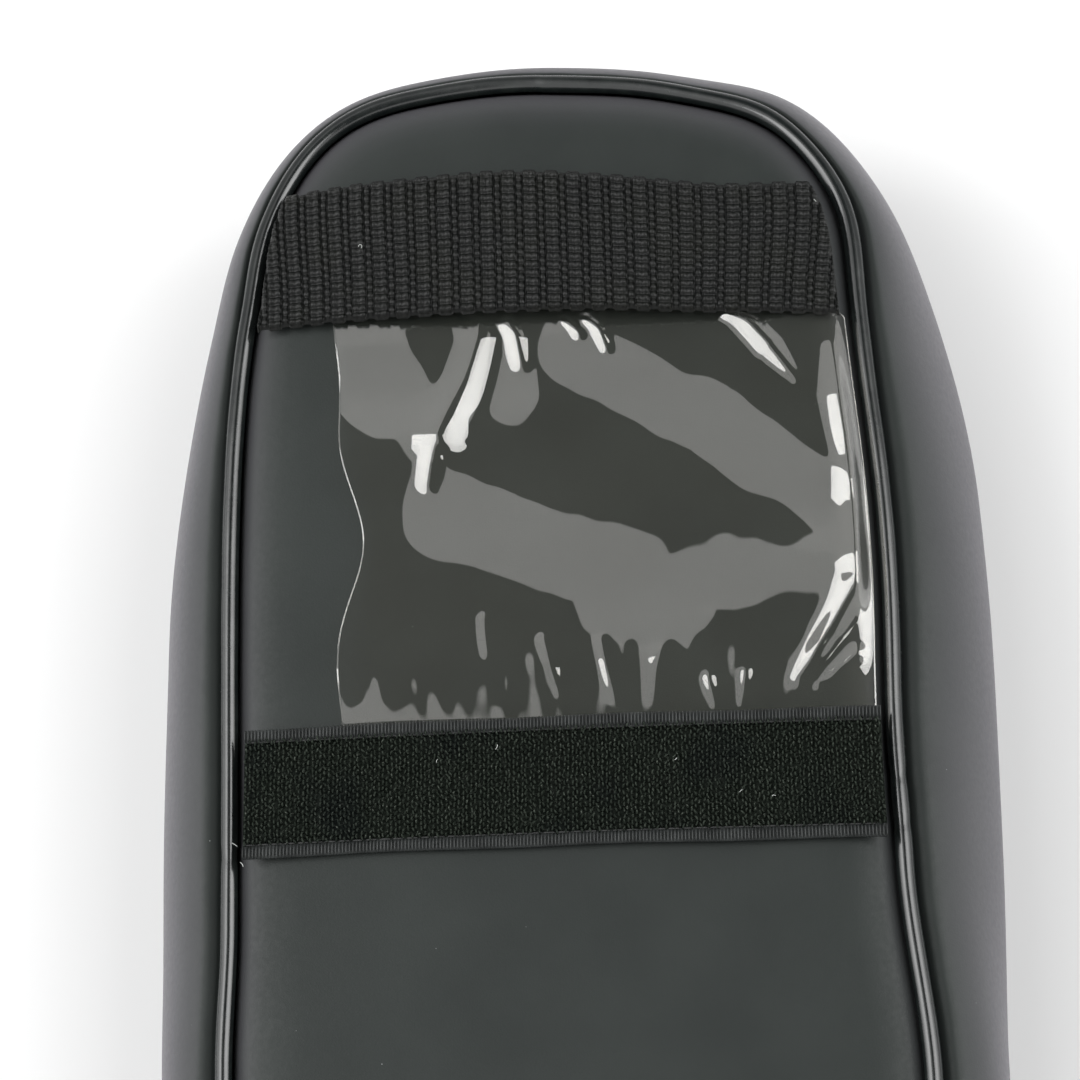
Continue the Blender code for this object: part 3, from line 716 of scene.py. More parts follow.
def lid_panel():
    """Top skin, tucked down at the piping and slightly uneven over the foam."""
    depths = np.array([0.0, 0.7, 1.6, 2.8, 4.2, 6.4, 9.3, 13.0]) * MM
    drop = np.array([5.0, 4.2, 3.1, 2.1, 1.3, 0.55, 0.12, 0.0]) * MM
    points = filled(PANEL_EDGE, depths, LID_Z - drop, 420, 26, crown=0.5 * MM)
    points[..., 2] += wave(points, 38 * MM, 0.35 * MM, 3.0) * smooth(points[..., 2], LID_Z - 3 * MM, LID_Z)
    sheet("lid_panel", settle(points), "lid", LEATHERETTE, SKIN, ("top_panel",))


def lid_foam():
    """Pad under the top skin, rounded at its upper edge."""
    low, high = low_high("top_foam")
    depths = np.array([0.0, 0.2, 1.0, 2.5, 6.0]) * MM
    drop = np.array([1.9, 1.0, 0.3, 0.05, 0.0]) * MM
    top = filled(FOAM_EDGE, depths, high[2] - drop, 160, 12)
    sheet("lid_foam", top, "lid", FOAM, high[2] - low[2] - 0.4 * MM, ("top_foam",))


def flat_lining(name, node, edge_offset, body, rise=0.0):
    """Lining cloth over a flat board; rise turns its edge up against the wall."""
    depths = np.array([0.0, 1.2, 3.0, 5.5, 9.0]) * MM
    heights = low_high(node)[1][2] + rise * np.array([1.0, 0.55, 0.15, 0.0, 0.0])
    points = filled(edge_offset, depths, heights, 280, 36)
    middle = smooth(SEAM_X - np.abs(points[..., 0]), 0.0, 14 * MM)
    wrinkle = wave(points * (1, 0.55, 1), 16 * MM, 0.5 * MM, 9.0) + wave(points, 5 * MM, 0.12 * MM, 4.0)
    points[..., 2] += (wrinkle - 0.15 * MM) * middle * (1 if body == "base" else -0.6)
    sheet(name, points, body, LINING, CLOTH_THICK, (node,))


def turned(places, turn):
    """(offset, z) places swung about the middle of the bead."""
    c, s = math.cos(turn), math.sin(turn)
    return places @ np.array([[c, s], [-s, c]])


def bead_profile(flange):
    """A bead with its sewing flange, as closed (offset, z) places."""
    half = 0.45 * MM
    gap = math.asin(half / BEAD)
    steps = 14
    angles = -math.pi / 2 + gap + (2 * math.pi - 2 * gap) * np.arange(steps + 1) / steps
    places = np.stack([BEAD * np.cos(angles), BEAD * np.sin(angles)], axis=1)
    return np.concatenate([places, [[-half, -flange], [half, -flange]]])


# Dents in the lid's piping: share of the way round, depth as a share of the bead, and half width.
PINCHES = ((0.2755, 0.10, 1.6 * MM), (0.289, 0.08, 1.4 * MM), (0.712, 0.08, 1.6 * MM))


def piping(name, offset, z, turn, body, hides, pinches=()):
    """Piping bead round the outline; its flange hangs down, or swings inward by a turn."""
    s = shares(900)
    profile = turned(bead_profile(BEAD_FLANGE), turn)
    run = s * PERIMETER
    swell = 1 + 0.012 * np.sin(run / (3.1 * MM)) + 0.02 * np.sin(run / (47 * MM) + 1.3)
    for where, depth, width in pinches:
        swell -= depth * bell(s, where, width / PERIMETER)
    round_part = np.arange(len(profile)) < len(profile) - 2
    grow = np.where(round_part[None, :], swell[:, None], 1.0)
    shift = 0.12 * MM * np.sin(run / (21 * MM))
    out = offset + profile[None, :, 0] * grow + shift[:, None] * round_part
    points = around(s, out, z + profile[None, :, 1] * grow)
    if body == "lid":
        points = settle(points)
    loose(name, points, [grid_faces(*points.shape[:2], True, True)], body, VINYL, hides)


def binding(name, offset, z, turn, body, hides):
    """Folded tape over the raw edges of the bead's seam."""
    s = shares(360)
    reach, end = 0.95 * MM, -8.9 * MM
    places = np.array([(-reach, end + 4.2 * MM), (-reach, end + 0.3 * MM), (-reach * 0.5, end)])
    places = turned(np.concatenate([places, (places * (-1, 1))[::-1]]), turn)
    points = around(s, offset + places[:, 0], z + places[:, 1])
    points[..., :2] += (0.1 * MM * np.sin(s * PERIMETER / (2.2 * MM)))[:, None, None]
    skin(name, settle(points) if body == "lid" else points, body, LINING, CLOTH_THICK, True, hides, True)


CLOTH = {
    "quality": 5,
    "mass": 0.4,
    "tension_stiffness": 25,
    "compression_stiffness": 25,
    "shear_stiffness": 10,
    "bending_stiffness": 3,
    "use_pressure": True,
    "uniform_pressure_force": 2.5,
    "vertex_group_mass": "sewn",
}
CLOTH_STEPS = 18
UPPER_ROWS = 22
UPPER_END, LOWER_END, LINING_END = math.radians(76), math.radians(-63), math.radians(60)
CLOTH_REACH = 3.0 * MM


def billow(points, sewn_rows):
    """A band of cloth blown out between its sewn rows by a short cloth simulation."""
    scene = bpy.context.scene
    stations, rows = points.shape[:2]
    obj = bpy.data.objects.new("billow", mesh_of("billow", points, [grid_faces(stations, rows, True)]))
    show(obj)
    held = np.zeros((stations, rows), bool)
    held[:, sewn_rows] = True
    obj.vertex_groups.new(name="sewn").add(np.flatnonzero(held).tolist(), 1.0, "REPLACE")
    cloth = obj.modifiers.new("billow", "CLOTH")
    for key, value in CLOTH.items():
        setattr(cloth.settings, key, value)
    cloth.settings.effector_weights.gravity = 0
    cloth.collision_settings.use_collision = False
    for step in range(CLOTH_STEPS):
        scene.frame_set(step + 1)
    depsgraph = bpy.context.evaluated_depsgraph_get()
    found = np.empty(points.size, np.float32)
    obj.evaluated_get(depsgraph).data.vertices.foreach_get("co", found)
    bpy.data.objects.remove(obj)
    scene.frame_set(1)
    start = points.astype(np.float32)
    move = found.reshape(points.shape) - start
    far = np.linalg.norm(move, axis=2, keepdims=True)
    return start + move * np.minimum(1, CLOTH_REACH / np.maximum(far, 1e-9))


def side_wall():
    """Upper wall: a band blown out between the zip and the lid seam."""
    s = shares(300)
    offset, z = wall(np.linspace(wall_angle(ZIP_EDGE), UPPER_END, UPPER_ROWS))
    points = wall_points(s, offset - 1.2 * MM * np.sin(np.linspace(0, math.pi, UPPER_ROWS)), z)
    tuck = around(s, np.array([2.6 * MM, 1.1 * MM]), np.array([BEAD_Z - 1.5 * MM, BEAD_Z - 2.6 * MM]))
    points = np.concatenate([points, tuck], axis=1)
    count = points.shape[1]
    points = billow(points, [0, 1, -3, -2, -1])
    share = np.linspace(0, 1, count)[None, :]
    run = s[:, None] * PERIMETER
    pucker = np.sin(run / (1.9 * MM) + 2 * np.sin(run / (23 * MM))) * bell(share, 0.93, 0.07)
    pucker += np.sin(run / (2.3 * MM)) * bell(share, 0.02, 0.08)
    soft = wave(points, 55 * MM, 1.0 * MM, 5.0) * np.sin(share * math.pi) + 0.07 * MM * pucker
    push_out(points, s, soft)
    points = settle(points)
    obj = skin("side_wall", points, "lid", LEATHERETTE, SKIN, True, ("upper_gusset",))
    smoother = obj.modifiers.new("smooth", "SUBSURF")
    smoother.levels = smoother.render_levels = 1
    obj.modifiers.move(1, 0)
    zip_seam("upper", points[:, 1] * 0.9 + points[:, 2] * 0.1, "lid")


def zip_seam(name, ring, body):
    """Topstitching along a cut edge of the wall, from its ring of places."""
    path = np.concatenate([ring, ring[:1]])
    _, axes = zip_axes(np.linspace(0, 1, len(path)))
    stitch_run(f"{name}_zip_topstitch", path + axes[:, 2] * 0.05 * MM, axes[:, 2], body, THREAD)


def lower_wall():
    """Lower wall: a plain band with puckers at both seams."""
    s = shares(420)
    offset, z = wall(np.linspace(LOWER_END, wall_angle(-ZIP_EDGE), 9))
    points = wall_points(s, offset, z)
    run = s * PERIMETER
    pucker = 0.08 * MM * np.sin(run / (2.1 * MM))[:, None] * np.array([1, 0.8, 0.4, 0.1, 0, 0, 0.3, 0.7, 1])
    push_out(points, s, pucker + wave(points, 40 * MM, 0.3 * MM, 2.0))
    skin("lower_wall", points, "base", LEATHERETTE, SKIN, True, ("lower_gusset",))
    zip_seam("lower", points[:, -2] * 0.45 + points[:, -1] * 0.55, "base")


def inner_side():
    """Lining of the upper wall, in loose folds."""
    s = shares(300)
    offset, z = wall(np.linspace(wall_angle(12.5 * MM), LINING_END, 14))
    points = wall_points(s, offset - 4.2 * MM, z)
    push_out(points, s, wave(points * (1, 1, 0.4), 14 * MM, 0.8 * MM, 6.0) - 0.3 * MM)
    skin("side_wall_lining", points, "lid", LINING, CLOTH_THICK, True, ("side_lining",))


# ------------------------------------------------------------------ zip


ZIP_FROM = share_at_x(HINGE_X)
ZIP_SPAN = (ZIP_FROM, 1 - ZIP_FROM)
ZIP_ROWS = (("lower", -1, "base"), ("upper", 1, "lid"))
TAPE_DEPTH = 2.0 * MM
TAPE_LINES = np.array([0.9, 2.2, 3.4, 5.0, 7.2, 9.4]) * MM
COIL_PITCH = 1.45 * MM
COIL_WIRE = 0.62 * MM
COIL_CORD = 0.42 * MM
STOP_SIZE = (3.4 * MM, 1.5 * MM, 1.1 * MM)
STOP_SHIFT = np.array([0, -1.9, -1.9]) * MM
HINGE_DEPTH, HINGE_HALF = 1.7 * MM, 9.0 * MM


def zip_tapes():
    """Woven tapes behind the walls' cut edges, one for each row of teeth."""
    s = np.linspace(ZIP_FROM * 0.93, 1 - ZIP_FROM * 0.93, 520)
    for prefix, side, body in ZIP_ROWS:
        offset, z = on_wall(side * TAPE_LINES, TAPE_DEPTH)
        points = wall_points(s, offset, z)
        if side < 0:
            points = points[:, ::-1]
        skin(f"{prefix}_zip_cloth", points, body, ZIP_TAPE, CLOTH_THICK, hides=(f"{prefix}_zip_tape",))


def wall_axes(flat):
    """Axes (along, up the wall, out of it) at the zip line, where flat points level out of the wall."""
    up = np.array([0.0, 0.0, 1.0])
    out = flat * WALL_OUT[0] + up * WALL_OUT[1]
    rise = flat * WALL_UP[0] + up * WALL_UP[1]
    return np.stack([np.cross(rise, out), rise, out], axis=-2)


def zip_axes(s):
    """Origins on the zip line and axes (along, up the wall, out of it) at shares s."""
    point, normal = rim(s)
    out = normal * ZIP_OFFSET * zip_slack(point)[:, None]
    centre = np.concatenate([point + out, np.full((len(point), 1), ZIP_Z)], axis=1)
    flat = np.concatenate([normal, np.zeros((len(point), 1))], axis=1)
    return centre, wall_axes(flat)


def zip_coil():
    """Coil elements that mesh across the zip line: every second one belongs to the other row."""
    span = ZIP_SPAN[1] - ZIP_SPAN[0]
    count = int(span * PERIMETER / COIL_PITCH)
    bar, faces = capsule(3.1 * MM, COIL_WIRE, COIL_WIRE, 8)
    faces = [group[:, ::-1] for group in faces]
    for prefix, side, body in ZIP_ROWS:
        along = (np.arange(count) + 0.5 - 0.25 * side) / count
        arm = bar[:, [1, 0, 2]] * (0.52, 1, 1)
        arm[:, 1] += side * 1.35 * MM
        arm[:, 2] -= 1.95 * MM - 0.35 * MM * np.cos(arm[:, 1] / (1.1 * MM))
        coil = copies(arm, faces, *zip_axes(ZIP_SPAN[0] + span * along))
        centre, axes = zip_axes(np.linspace(*ZIP_SPAN, 480))
        line = centre + axes[:, 1] * side * 2.35 * MM - axes[:, 2] * 1.75 * MM
        points, many = joined(*coil, *threads(line[None], COIL_CORD, 6))
        loose(f"{prefix}_zip_coil", points, many, body, COIL, (f"{prefix}_zip_teeth",))


def fabric_hinge():
    """One strip of the wall's skin behind both cut edges, on no body, its placement baked into its points.
    """
    s = np.linspace(-ZIP_FROM * 0.985, ZIP_FROM * 0.985, 90)
    v = np.linspace(-HINGE_HALF, HINGE_HALF, 25)
    offset, z = on_wall(v, HINGE_DEPTH)
    points = wall_points(s, offset + 0.5 * MM * bell(v, 0.0, 4.5 * MM), z)
    obj = skin("fabric_hinge", points, None, LEATHERETTE, 1.0 * MM, hides=("hinge_lower", "hinge_upper"))
    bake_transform(obj)


def zip_ends():
    """Moulded stops, rounded, one at each end of the zip."""
    bar, faces = capsule(*STOP_SIZE, 10)
    for side, name in SIDES:
        points, many = copies(bar + STOP_SHIFT, faces, *zip_axes(np.array([side * ZIP_FROM * 0.95])))
        loose(f"zip_stop_{name}_moulding", points, many, "base", COIL, (f"zip_stop_{name}",))


# ------------------------------------------------------------------ pieces sewn on the lid


def half_width(y):
    """Half the outline's width over the narrow half of the lid."""
    reach = np.clip((y - WIDEST_Y) / (NARROW_Y - WIDEST_Y), 0, 1)
    return SEAM_X * (1 - reach**FRONT_POWER) ** (1 / FRONT_POWER)


STRAP_SKEW = math.tan(math.radians(-2.6))
STRAP_WIDTH = 28.2 * MM
STRAP_PAIR = 4.3 * MM  # one broad and one narrow rib
STRAP_BUMP = 1.66 * MM
BROAD_RIB, NARROW_RIB = 1.05 * MM, 0.72 * MM
RIB_GROUND = 0.05 * MM
STRAP_BODY = 0.35 * MM  # from the middle of the band to its ground weave on each side
STRAP_RISE = 3.7 * MM


def webbing_strap():
    """Ribbed webbing: broad and narrow ribs across the band, each a stack of yarn bumps."""
    middle = (strap_low + strap_high) / 2
    half = STRAP_WIDTH / 2
    v = np.linspace(-0.5, 0.5, 150)[None, :] * STRAP_WIDTH
    u = np.linspace(-1, 1, 560)[:, None]
    reach = half_width(middle[1] + v) - 3.6 * MM
    x = u * reach
    along = x / STRAP_PAIR
    phase = along - np.floor(along)
    broad = smooth(np.abs(phase - 0.5), 0.34, 0.24)
    narrow = smooth(np.minimum(phase, 1 - phase), 0.17, 0.07)
    row = (v + 0.2 * MM * np.sin(x / (9 * MM))) / STRAP_BUMP
    bump_broad = np.abs(np.cos(row * math.pi)) ** 0.6
    bump_narrow = np.abs(np.sin(row * math.pi)) ** 0.6
    twin = 1 - 0.35 * bell(phase, 0.5, 0.07)
    relief = RIB_GROUND + BROAD_RIB * broad * (0.3 + 0.7 * bump_broad) * twin
    relief = np.maximum(relief, RIB_GROUND + NARROW_RIB * narrow * (0.3 + 0.7 * bump_narrow))
    rim_fade = smooth(half - np.abs(v), 0.0, 0.9 * MM)
    scallop = 0.45 * MM * (broad - 0.5) * smooth(np.abs(v), half - 1.5 * MM, half) * np.sign(v)
    arch = 1 - np.abs(u) ** 2.4
    lift = (0.9 * MM + STRAP_RISE * arch) * (1 + 0.05 * np.sin(v / (6 * MM)))
    lift = lift + wave(np.stack([x, v + 0 * x, 0 * x], axis=2), 20 * MM, 0.5 * MM, 8.0) * arch
    y = middle[1] + v + scallop + STRAP_SKEW * x + 1.0 * MM * arch
    height = LID_Z + lift + (0.15 + 0.85 * rim_fade) * (relief + STRAP_BODY)
    top = np.stack([x + 0 * v, y, height], axis=2)
    under = top.copy()
    under[..., 2] = LID_Z + lift - STRAP_BODY * rim_fade
    slab("webbing_band", top, under, WEBBING, ("webbing_strap",))


TAPE_SKEW = math.radians(-1.2)
TAPE_SHIFT = 0.7 * MM
TAPE_HALF = 12.5 * MM
TAPE_REACH = SEAM_X - 3.15 * MM
TAPE_BASE = tape_low[2] + 0.1 * MM
SELVEDGE_WIDTH = 2.3 * MM
SELVEDGE_RIB = 0.66 * MM
LOOP_COLUMNS, LOOP_ROWS = 152, 18
LOOP_GAP = 0.36 * MM  # from a pair's middle to each of its two columns
LOOP_THREAD = 0.16 * MM
STITCH_LINE = TAPE_HALF - SELVEDGE_WIDTH * 1.1


def tape_point(x, v, z):
    """Places on the loop tape: x along it and v across it."""
    middle = (tape_low + tape_high) / 2
    c, s = math.cos(TAPE_SKEW), math.sin(TAPE_SKEW)
    bow = 0.5 * MM * np.cos(x / SEAM_X * math.pi / 2)
    across = TAPE_SHIFT + x * c - v * s
    return np.stack(np.broadcast_arrays(across, middle[1] + x * s + v * c + bow, z), axis=-1)


def loop_tape_ground():
    """The tape itself: ribbed selvedges and a ground cloth for the pile, whose faces under the loops take a
    darker copy of the pile yarn as painted shade.
    """
    half, edge = TAPE_HALF, SELVEDGE_WIDTH
    x = np.linspace(-TAPE_REACH, TAPE_REACH, 1300)[:, None]
    near = np.linspace(-half, -half + edge, 7)
    field = np.linspace(-half + edge * 1.15, half - edge * 1.15, 12)
    v = np.concatenate([near, field, -near[::-1]])[None, :]
    in_edge = smooth(np.abs(v), STITCH_LINE, half - edge * 0.95)
    ribs = 0.5 + 0.5 * np.cos(2 * math.pi * x / SELVEDGE_RIB)
    fade = smooth(half - np.abs(v), 0.0, 0.4 * MM)
    height = 0.5 * MM + in_edge * (0.05 + 0.5 * ribs * (0.35 + 0.65 * fade)) * MM
    height = height - 0.25 * MM * bell(np.abs(v), half - edge * 1.08, 0.5 * MM)
    wander = 0.12 * MM * np.sin(x / (7 * MM)) * in_edge
    top = tape_point(x, v + wander, TAPE_BASE + height)
    under = tape_point(x, v + wander, TAPE_BASE)
    ground = slab("loop_tape_ground", top, under, SELVEDGE, ("loop_tape",))
    # the faces under the loops get the darker pile copy, painted shade between the loops
    ground.data.materials.append(SHADED_PILE_GROUND)
    napped = np.abs((v[0, :-1] + v[0, 1:]) / 2) < STITCH_LINE
    marks = np.zeros(len(ground.data.polygons), np.int32)
    marks[: (len(x) - 1) * len(napped)] = np.tile(napped, len(x) - 1)
    ground.data.polygons.foreach_set("material_index", marks)


def loop_tape_pile():
    """Small thread loops in rows, each leaning its own way."""
    inner = TAPE_HALF - SELVEDGE_WIDTH * 1.25
    pairs = np.linspace(-TAPE_REACH + 0.8 * MM, TAPE_REACH - 0.8 * MM, LOOP_COLUMNS // 2)
    pairs = (pairs[:, None] + np.array([-LOOP_GAP, LOOP_GAP])).ravel()
    cx, cy = np.meshgrid(pairs, np.linspace(-inner, inner, LOOP_ROWS))
    cy = cy + np.where(np.arange(LOOP_COLUMNS) % 2, 0.45 * MM, 0.0)
    count = cx.size
    cx = cx.ravel() + rng.normal(0, 0.05 * MM, count)
    cy = cy.ravel() + rng.normal(0, 0.08 * MM, count)
    lean = rng.normal(0, 0.3, count) + math.pi / 2
    tall = rng.uniform(0.55, 1.0, count) * MM
    spread = rng.uniform(0.34, 0.5, count) * MM
    steps = np.linspace(0, math.pi, 6)[None, :]
    px = cx[:, None] + (np.cos(lean) * spread)[:, None] * np.cos(steps)
    py = cy[:, None] + (np.sin(lean) * spread)[:, None] * np.cos(steps)
    px = px + rng.normal(0, 0.12 * MM, count)[:, None] * np.sin(steps)
    pz = TAPE_BASE + 0.4 * MM + tall[:, None] * np.sin(steps)
    points, faces = threads(tape_point(px, py, pz), LOOP_THREAD, 5)
    loose("loop_tape_pile", settle(points), faces, "lid", PILE)


def loop_tape_seams():
    """Stitches along both selvedges."""
    line = np.linspace(-TAPE_REACH, TAPE_REACH, 200)
    up = (0.0, 0.0, 1.0)
    for name, side in (("front", 1), ("rear", -1)):
        sewn = tape_point(line, side * STITCH_LINE, TAPE_BASE + 0.55 * MM)
        stitch_run(f"loop_tape_stitch_{name}", settle(sewn), up, "lid", THREAD, 2.6 * MM, 0.2 * MM)


# Broad tilted areas of the film: strokes between two places in shares of its width and height, each
# with its half width in mm.
TILTS = (
    ((0.00, 0.99), (0.10, 0.86), 9.0),
    ((0.33, 0.99), (0.34, 0.82), 5.5),
    ((0.47, 0.90), (0.68, 0.74), 7.5),
    ((0.68, 0.74), (1.0, 0.42), 6.5),
    ((0.17, 0.52), (0.56, 0.34), 9.0),
    ((0.50, 0.30), (0.62, 0.27), 8.0),
    ((0.56, 0.34), (0.98, 0.33), 6.5),
)
# Sharp creases, as paths: share of width and height, half width in mm, height in mm.
CREASES = (
    (
        (0.295, 1.0, 2.5, 1.4),
        (0.25, 0.86, 2.9, 1.7),
        (0.195, 0.72, 3.9, 2.3),
        (0.17, 0.655, 2.0, 0.8),
        (0.15, 0.60, 1.5, 0.35),
    ),
    ((0.355, 1.0, 1.9, 1.2), (0.36, 0.90, 1.5, 0.5)),
    ((0.47, 1.0, 1.2, 0.6), (0.48, 0.96, 1.0, 0.4)),
    ((0.515, 1.0, 1.3, 0.8), (0.53, 0.92, 1.0, 0.3)),
    ((0.80, 0.99, 2.0, 1.1), (0.85, 0.90, 2.2, 1.2), (0.895, 0.81, 1.2, 0.3)),
    ((0.97, 0.88, 1.4, 0.5), (0.975, 0.76, 2.4, 1.7), (0.98, 0.60, 2.2, 1.5), (0.975, 0.44, 2.4, 1.7)),
    ((0.975, 0.44, 2.4, 1.7), (0.98, 0.30, 2.6, 1.8), (0.92, 0.18, 2.2, 1.3), (0.86, 0.07, 1.6, 0.7)),
    ((0.97, 0.12, 1.7, 0.9), (0.90, 0.05, 1.4, 0.5)),
    ((0.27, 0.26, 1.3, 0.25), (0.28, 0.17, 1.1, 0.2)),
    ((0.385, 0.20, 1.2, 0.3), (0.41, 0.07, 1.1, 0.25)),
    ((0.49, 0.19, 1.0, 0.24), (0.51, 0.05, 1.0, 0.24)),
    ((0.60, 0.15, 2.0, 0.4), (0.59, 0.04, 1.8, 0.35)),
    ((0.69, 0.08, 1.0, 0.5), (0.70, 0.02, 0.9, 0.4)),
    ((0.76, 0.09, 1.0, 0.45), (0.75, 0.02, 0.9, 0.4)),
)
FILM_TILT = 0.13  # slope between a tilted area and the rest
TILT_EDGE = 1.6  # half width of the bend round a tilted area, in mm
FILM_LEFT, FILM_RIGHT = -0.033, 0.043  # general slope at the free edge and at the sewn one
FILM_SEEN = (0.06, 0.93)  # shares of the height between the loop tape and the webbing
FILM_TOP = LID_Z + 6.5 * MM
FILM_THICK = 0.25 * MM
CROSS_STIFFNESS = 0.05  # how far the height field resists changing across the slope's direction


def stroke(place, start, end):
    """Each place's distance from a stroke, and the share of the stroke at its nearest point."""
    run = np.subtract(end, start)
    share = np.clip((place - start) @ run / (run @ run), 0, 1)
    return np.linalg.norm(place - start - share[..., None] * run, axis=-1), share


def from_slope(slope, dx, dy):
    """The smooth height field whose rise along x comes nearest to a wished slope."""
    odd = np.concatenate([slope, -slope[::-1]], axis=0)
    odd = np.concatenate([odd, odd[:, ::-1]], axis=1)
    kx = 2 * math.pi * np.fft.fftfreq(odd.shape[0], dx)[:, None]
    ky = 2 * math.pi * np.fft.fftfreq(odd.shape[1], dy)[None, :]
    stiff = kx**2 + CROSS_STIFFNESS * ky**2
    stiff[0, 0] = 1.0
    height = np.fft.ifft2(-1j * kx * np.fft.fft2(odd) / stiff).real
    return height[: slope.shape[0], : slope.shape[1]]


def tilted_areas(place, size, ragged):
    """1 on the tilted areas and 0 off them, with their edges moved by ragged."""
    tilted = np.zeros(place.shape[:2])
    for start, end, reach in TILTS:
        away = stroke(place, start * size, end * size)[0] + ragged
        tilted = np.maximum(tilted, smooth(away, (reach + TILT_EDGE) * MM, (reach - TILT_EDGE) * MM))
    return tilted


def ridges(place, size):
    """Height of the sharp creases at each place."""
    ridge = np.zeros(place.shape[:2])
    for path in CREASES:
        for start, end in zip(path, path[1:]):
            away, share = stroke(place, start[:2] * size, end[:2] * size)
            reach, tall = (start[k] + (end[k] - start[k]) * share for k in (2, 3))
            ridge = np.maximum(ridge, tall * MM * bell(away, 0.0, reach * MM))
    return ridge


def rested(lift):
    """A height field let down by a smoothed line through its lowest places."""
    columns = lift.shape[1]
    window = np.hanning(columns // 2 + 1)
    low = np.convolve(np.pad(lift.min(axis=0), columns // 4, mode="edge"), window / window.sum(), "valid")
    return lift - low[None, :columns]


def document_film():
    """Clear film, sewn in at the right, the webbing and the loop tape, with its free edge at the left."""
    nx, ny = 300, 240
    width = film_high[0] - film_low[0]
    height = film_high[1] - film_low[1]
    u = np.linspace(0, 1, nx)[:, None]
    v = np.linspace(0, 1, ny)[None, :]
    y = film_low[1] + height * v + 0 * u
    right = half_width(y) - 3.0 * MM - 3.2 * MM * smooth(v, 0.895, 0.935)
    free = film_low[0] + 0.6 * MM * np.sin(v * 17) + 4.6 * MM * bell(v, 0.47, 0.2) - 0.8 * MM
    x = free + (right - free) * u
    place = np.stack([x, y, 0 * x], axis=2)
    seen = FILM_SEEN[1] - FILM_SEEN[0]
    size = np.array([width, height * seen])
    flat_place = np.stack(np.broadcast_arrays(u, (v - FILM_SEEN[0]) / seen), axis=2) * size
    ragged = wave(place, 15 * MM, 3.0 * MM, 21.0) + wave(place, 5 * MM, 0.7 * MM, 31.0)
    slope = FILM_LEFT + (FILM_RIGHT - FILM_LEFT) * u
    slope = slope + FILM_TILT * (tilted_areas(flat_place, size, ragged) - 0.5)
    lift = rested(from_slope(slope, width / nx, height / ny))
    flat = smooth(v, 0.04, 0.19) * smooth(1 - u, 0.0, 0.03) * (0.3 + 0.7 * smooth(1 - v, 0.02, 0.11))
    lift = 0.6 * MM + lift + ridges(flat_place, size)
    ripple = wave(place * (1.0, 0.5, 1), 3.2 * MM, 0.25 * MM, 12.0) * smooth(1 - v, 0.7, 0.95)
    lift = lift + ripple + wave(place, 13 * MM, 0.07 * MM, 2.5)
    z = LID_Z + 0.2 * MM + 0.5 * MM * smooth(v, 0.03, 0.12) + np.maximum(lift * flat, -0.1 * MM)
    z = np.minimum(z, FILM_TOP)
    points = settle(np.stack([x, y, z], axis=2))
    mesh = mesh_of("document_film", points, [grid_faces(nx, ny)[:, ::-1]])
    obj = bpy.data.objects.new("document_film", mesh)
    obj.data.materials.append(FILM)
    obj.data.materials.append(FILM_EDGE_HIGHLIGHT)
    modifier = thicken(obj, FILM_THICK, True)
    # the film's cut rim takes the pale edge colour, a painted highlight
    modifier.material_offset_rim = 1
    finish_piece(obj, "lid", FILM, ("document_window",))


LINT_THREAD = 0.07 * MM
# Fibres caught on the webbing and on the loop tape, as places (x, y) in mm.
LINT_ON_STRAP = ((-36, 93), (52, 97))
LINT_ON_TAPE = ((-12, -9), (34, -20), (41, -21), (22, -13), (-23, -11), (-61, -25), (-60, -29))


def lint():
    """A few pale fibres, each a short curved thread."""
    paths = []
    steps = np.linspace(0, 1, 7)
    for px, py in LINT_ON_STRAP + LINT_ON_TAPE:
        turn = rng.uniform(0, math.pi)
        bend = rng.normal(0, 0.5)
        heading = turn + bend * steps * 2
        size = rng.uniform(0.7, 1.8) * MM
        x = px * MM + np.cumsum(np.cos(heading)) * size / len(steps)
        y = py * MM + np.cumsum(np.sin(heading)) * size / len(steps)
        crest = 1 - (px * MM / SEAM_X) ** 2
        over = 2.6 * MM + 4.6 * MM * crest if (px, py) in LINT_ON_STRAP else 2.4 * MM
        paths.append(np.stack([x, y, LID_Z + over + 0.2 * MM * np.sin(steps * 3)], axis=1))
    points, faces = threads(np.array(paths), LINT_THREAD, 5)
    loose("lint_fibres", settle(points), faces, "lid", LINT)


# ------------------------------------------------------------------ base


BASE_SEAM, BASE_SEAM_Z = 1.6 * MM, 0.42 * MM
DOME_PITCH = 4.5 * MM
DOME_MARGIN = 3.0 * MM
DOME_RINGS = ((1.3, 0.97), (1.2, 0.32), (0.7, 0.02))  # radius and height in mm


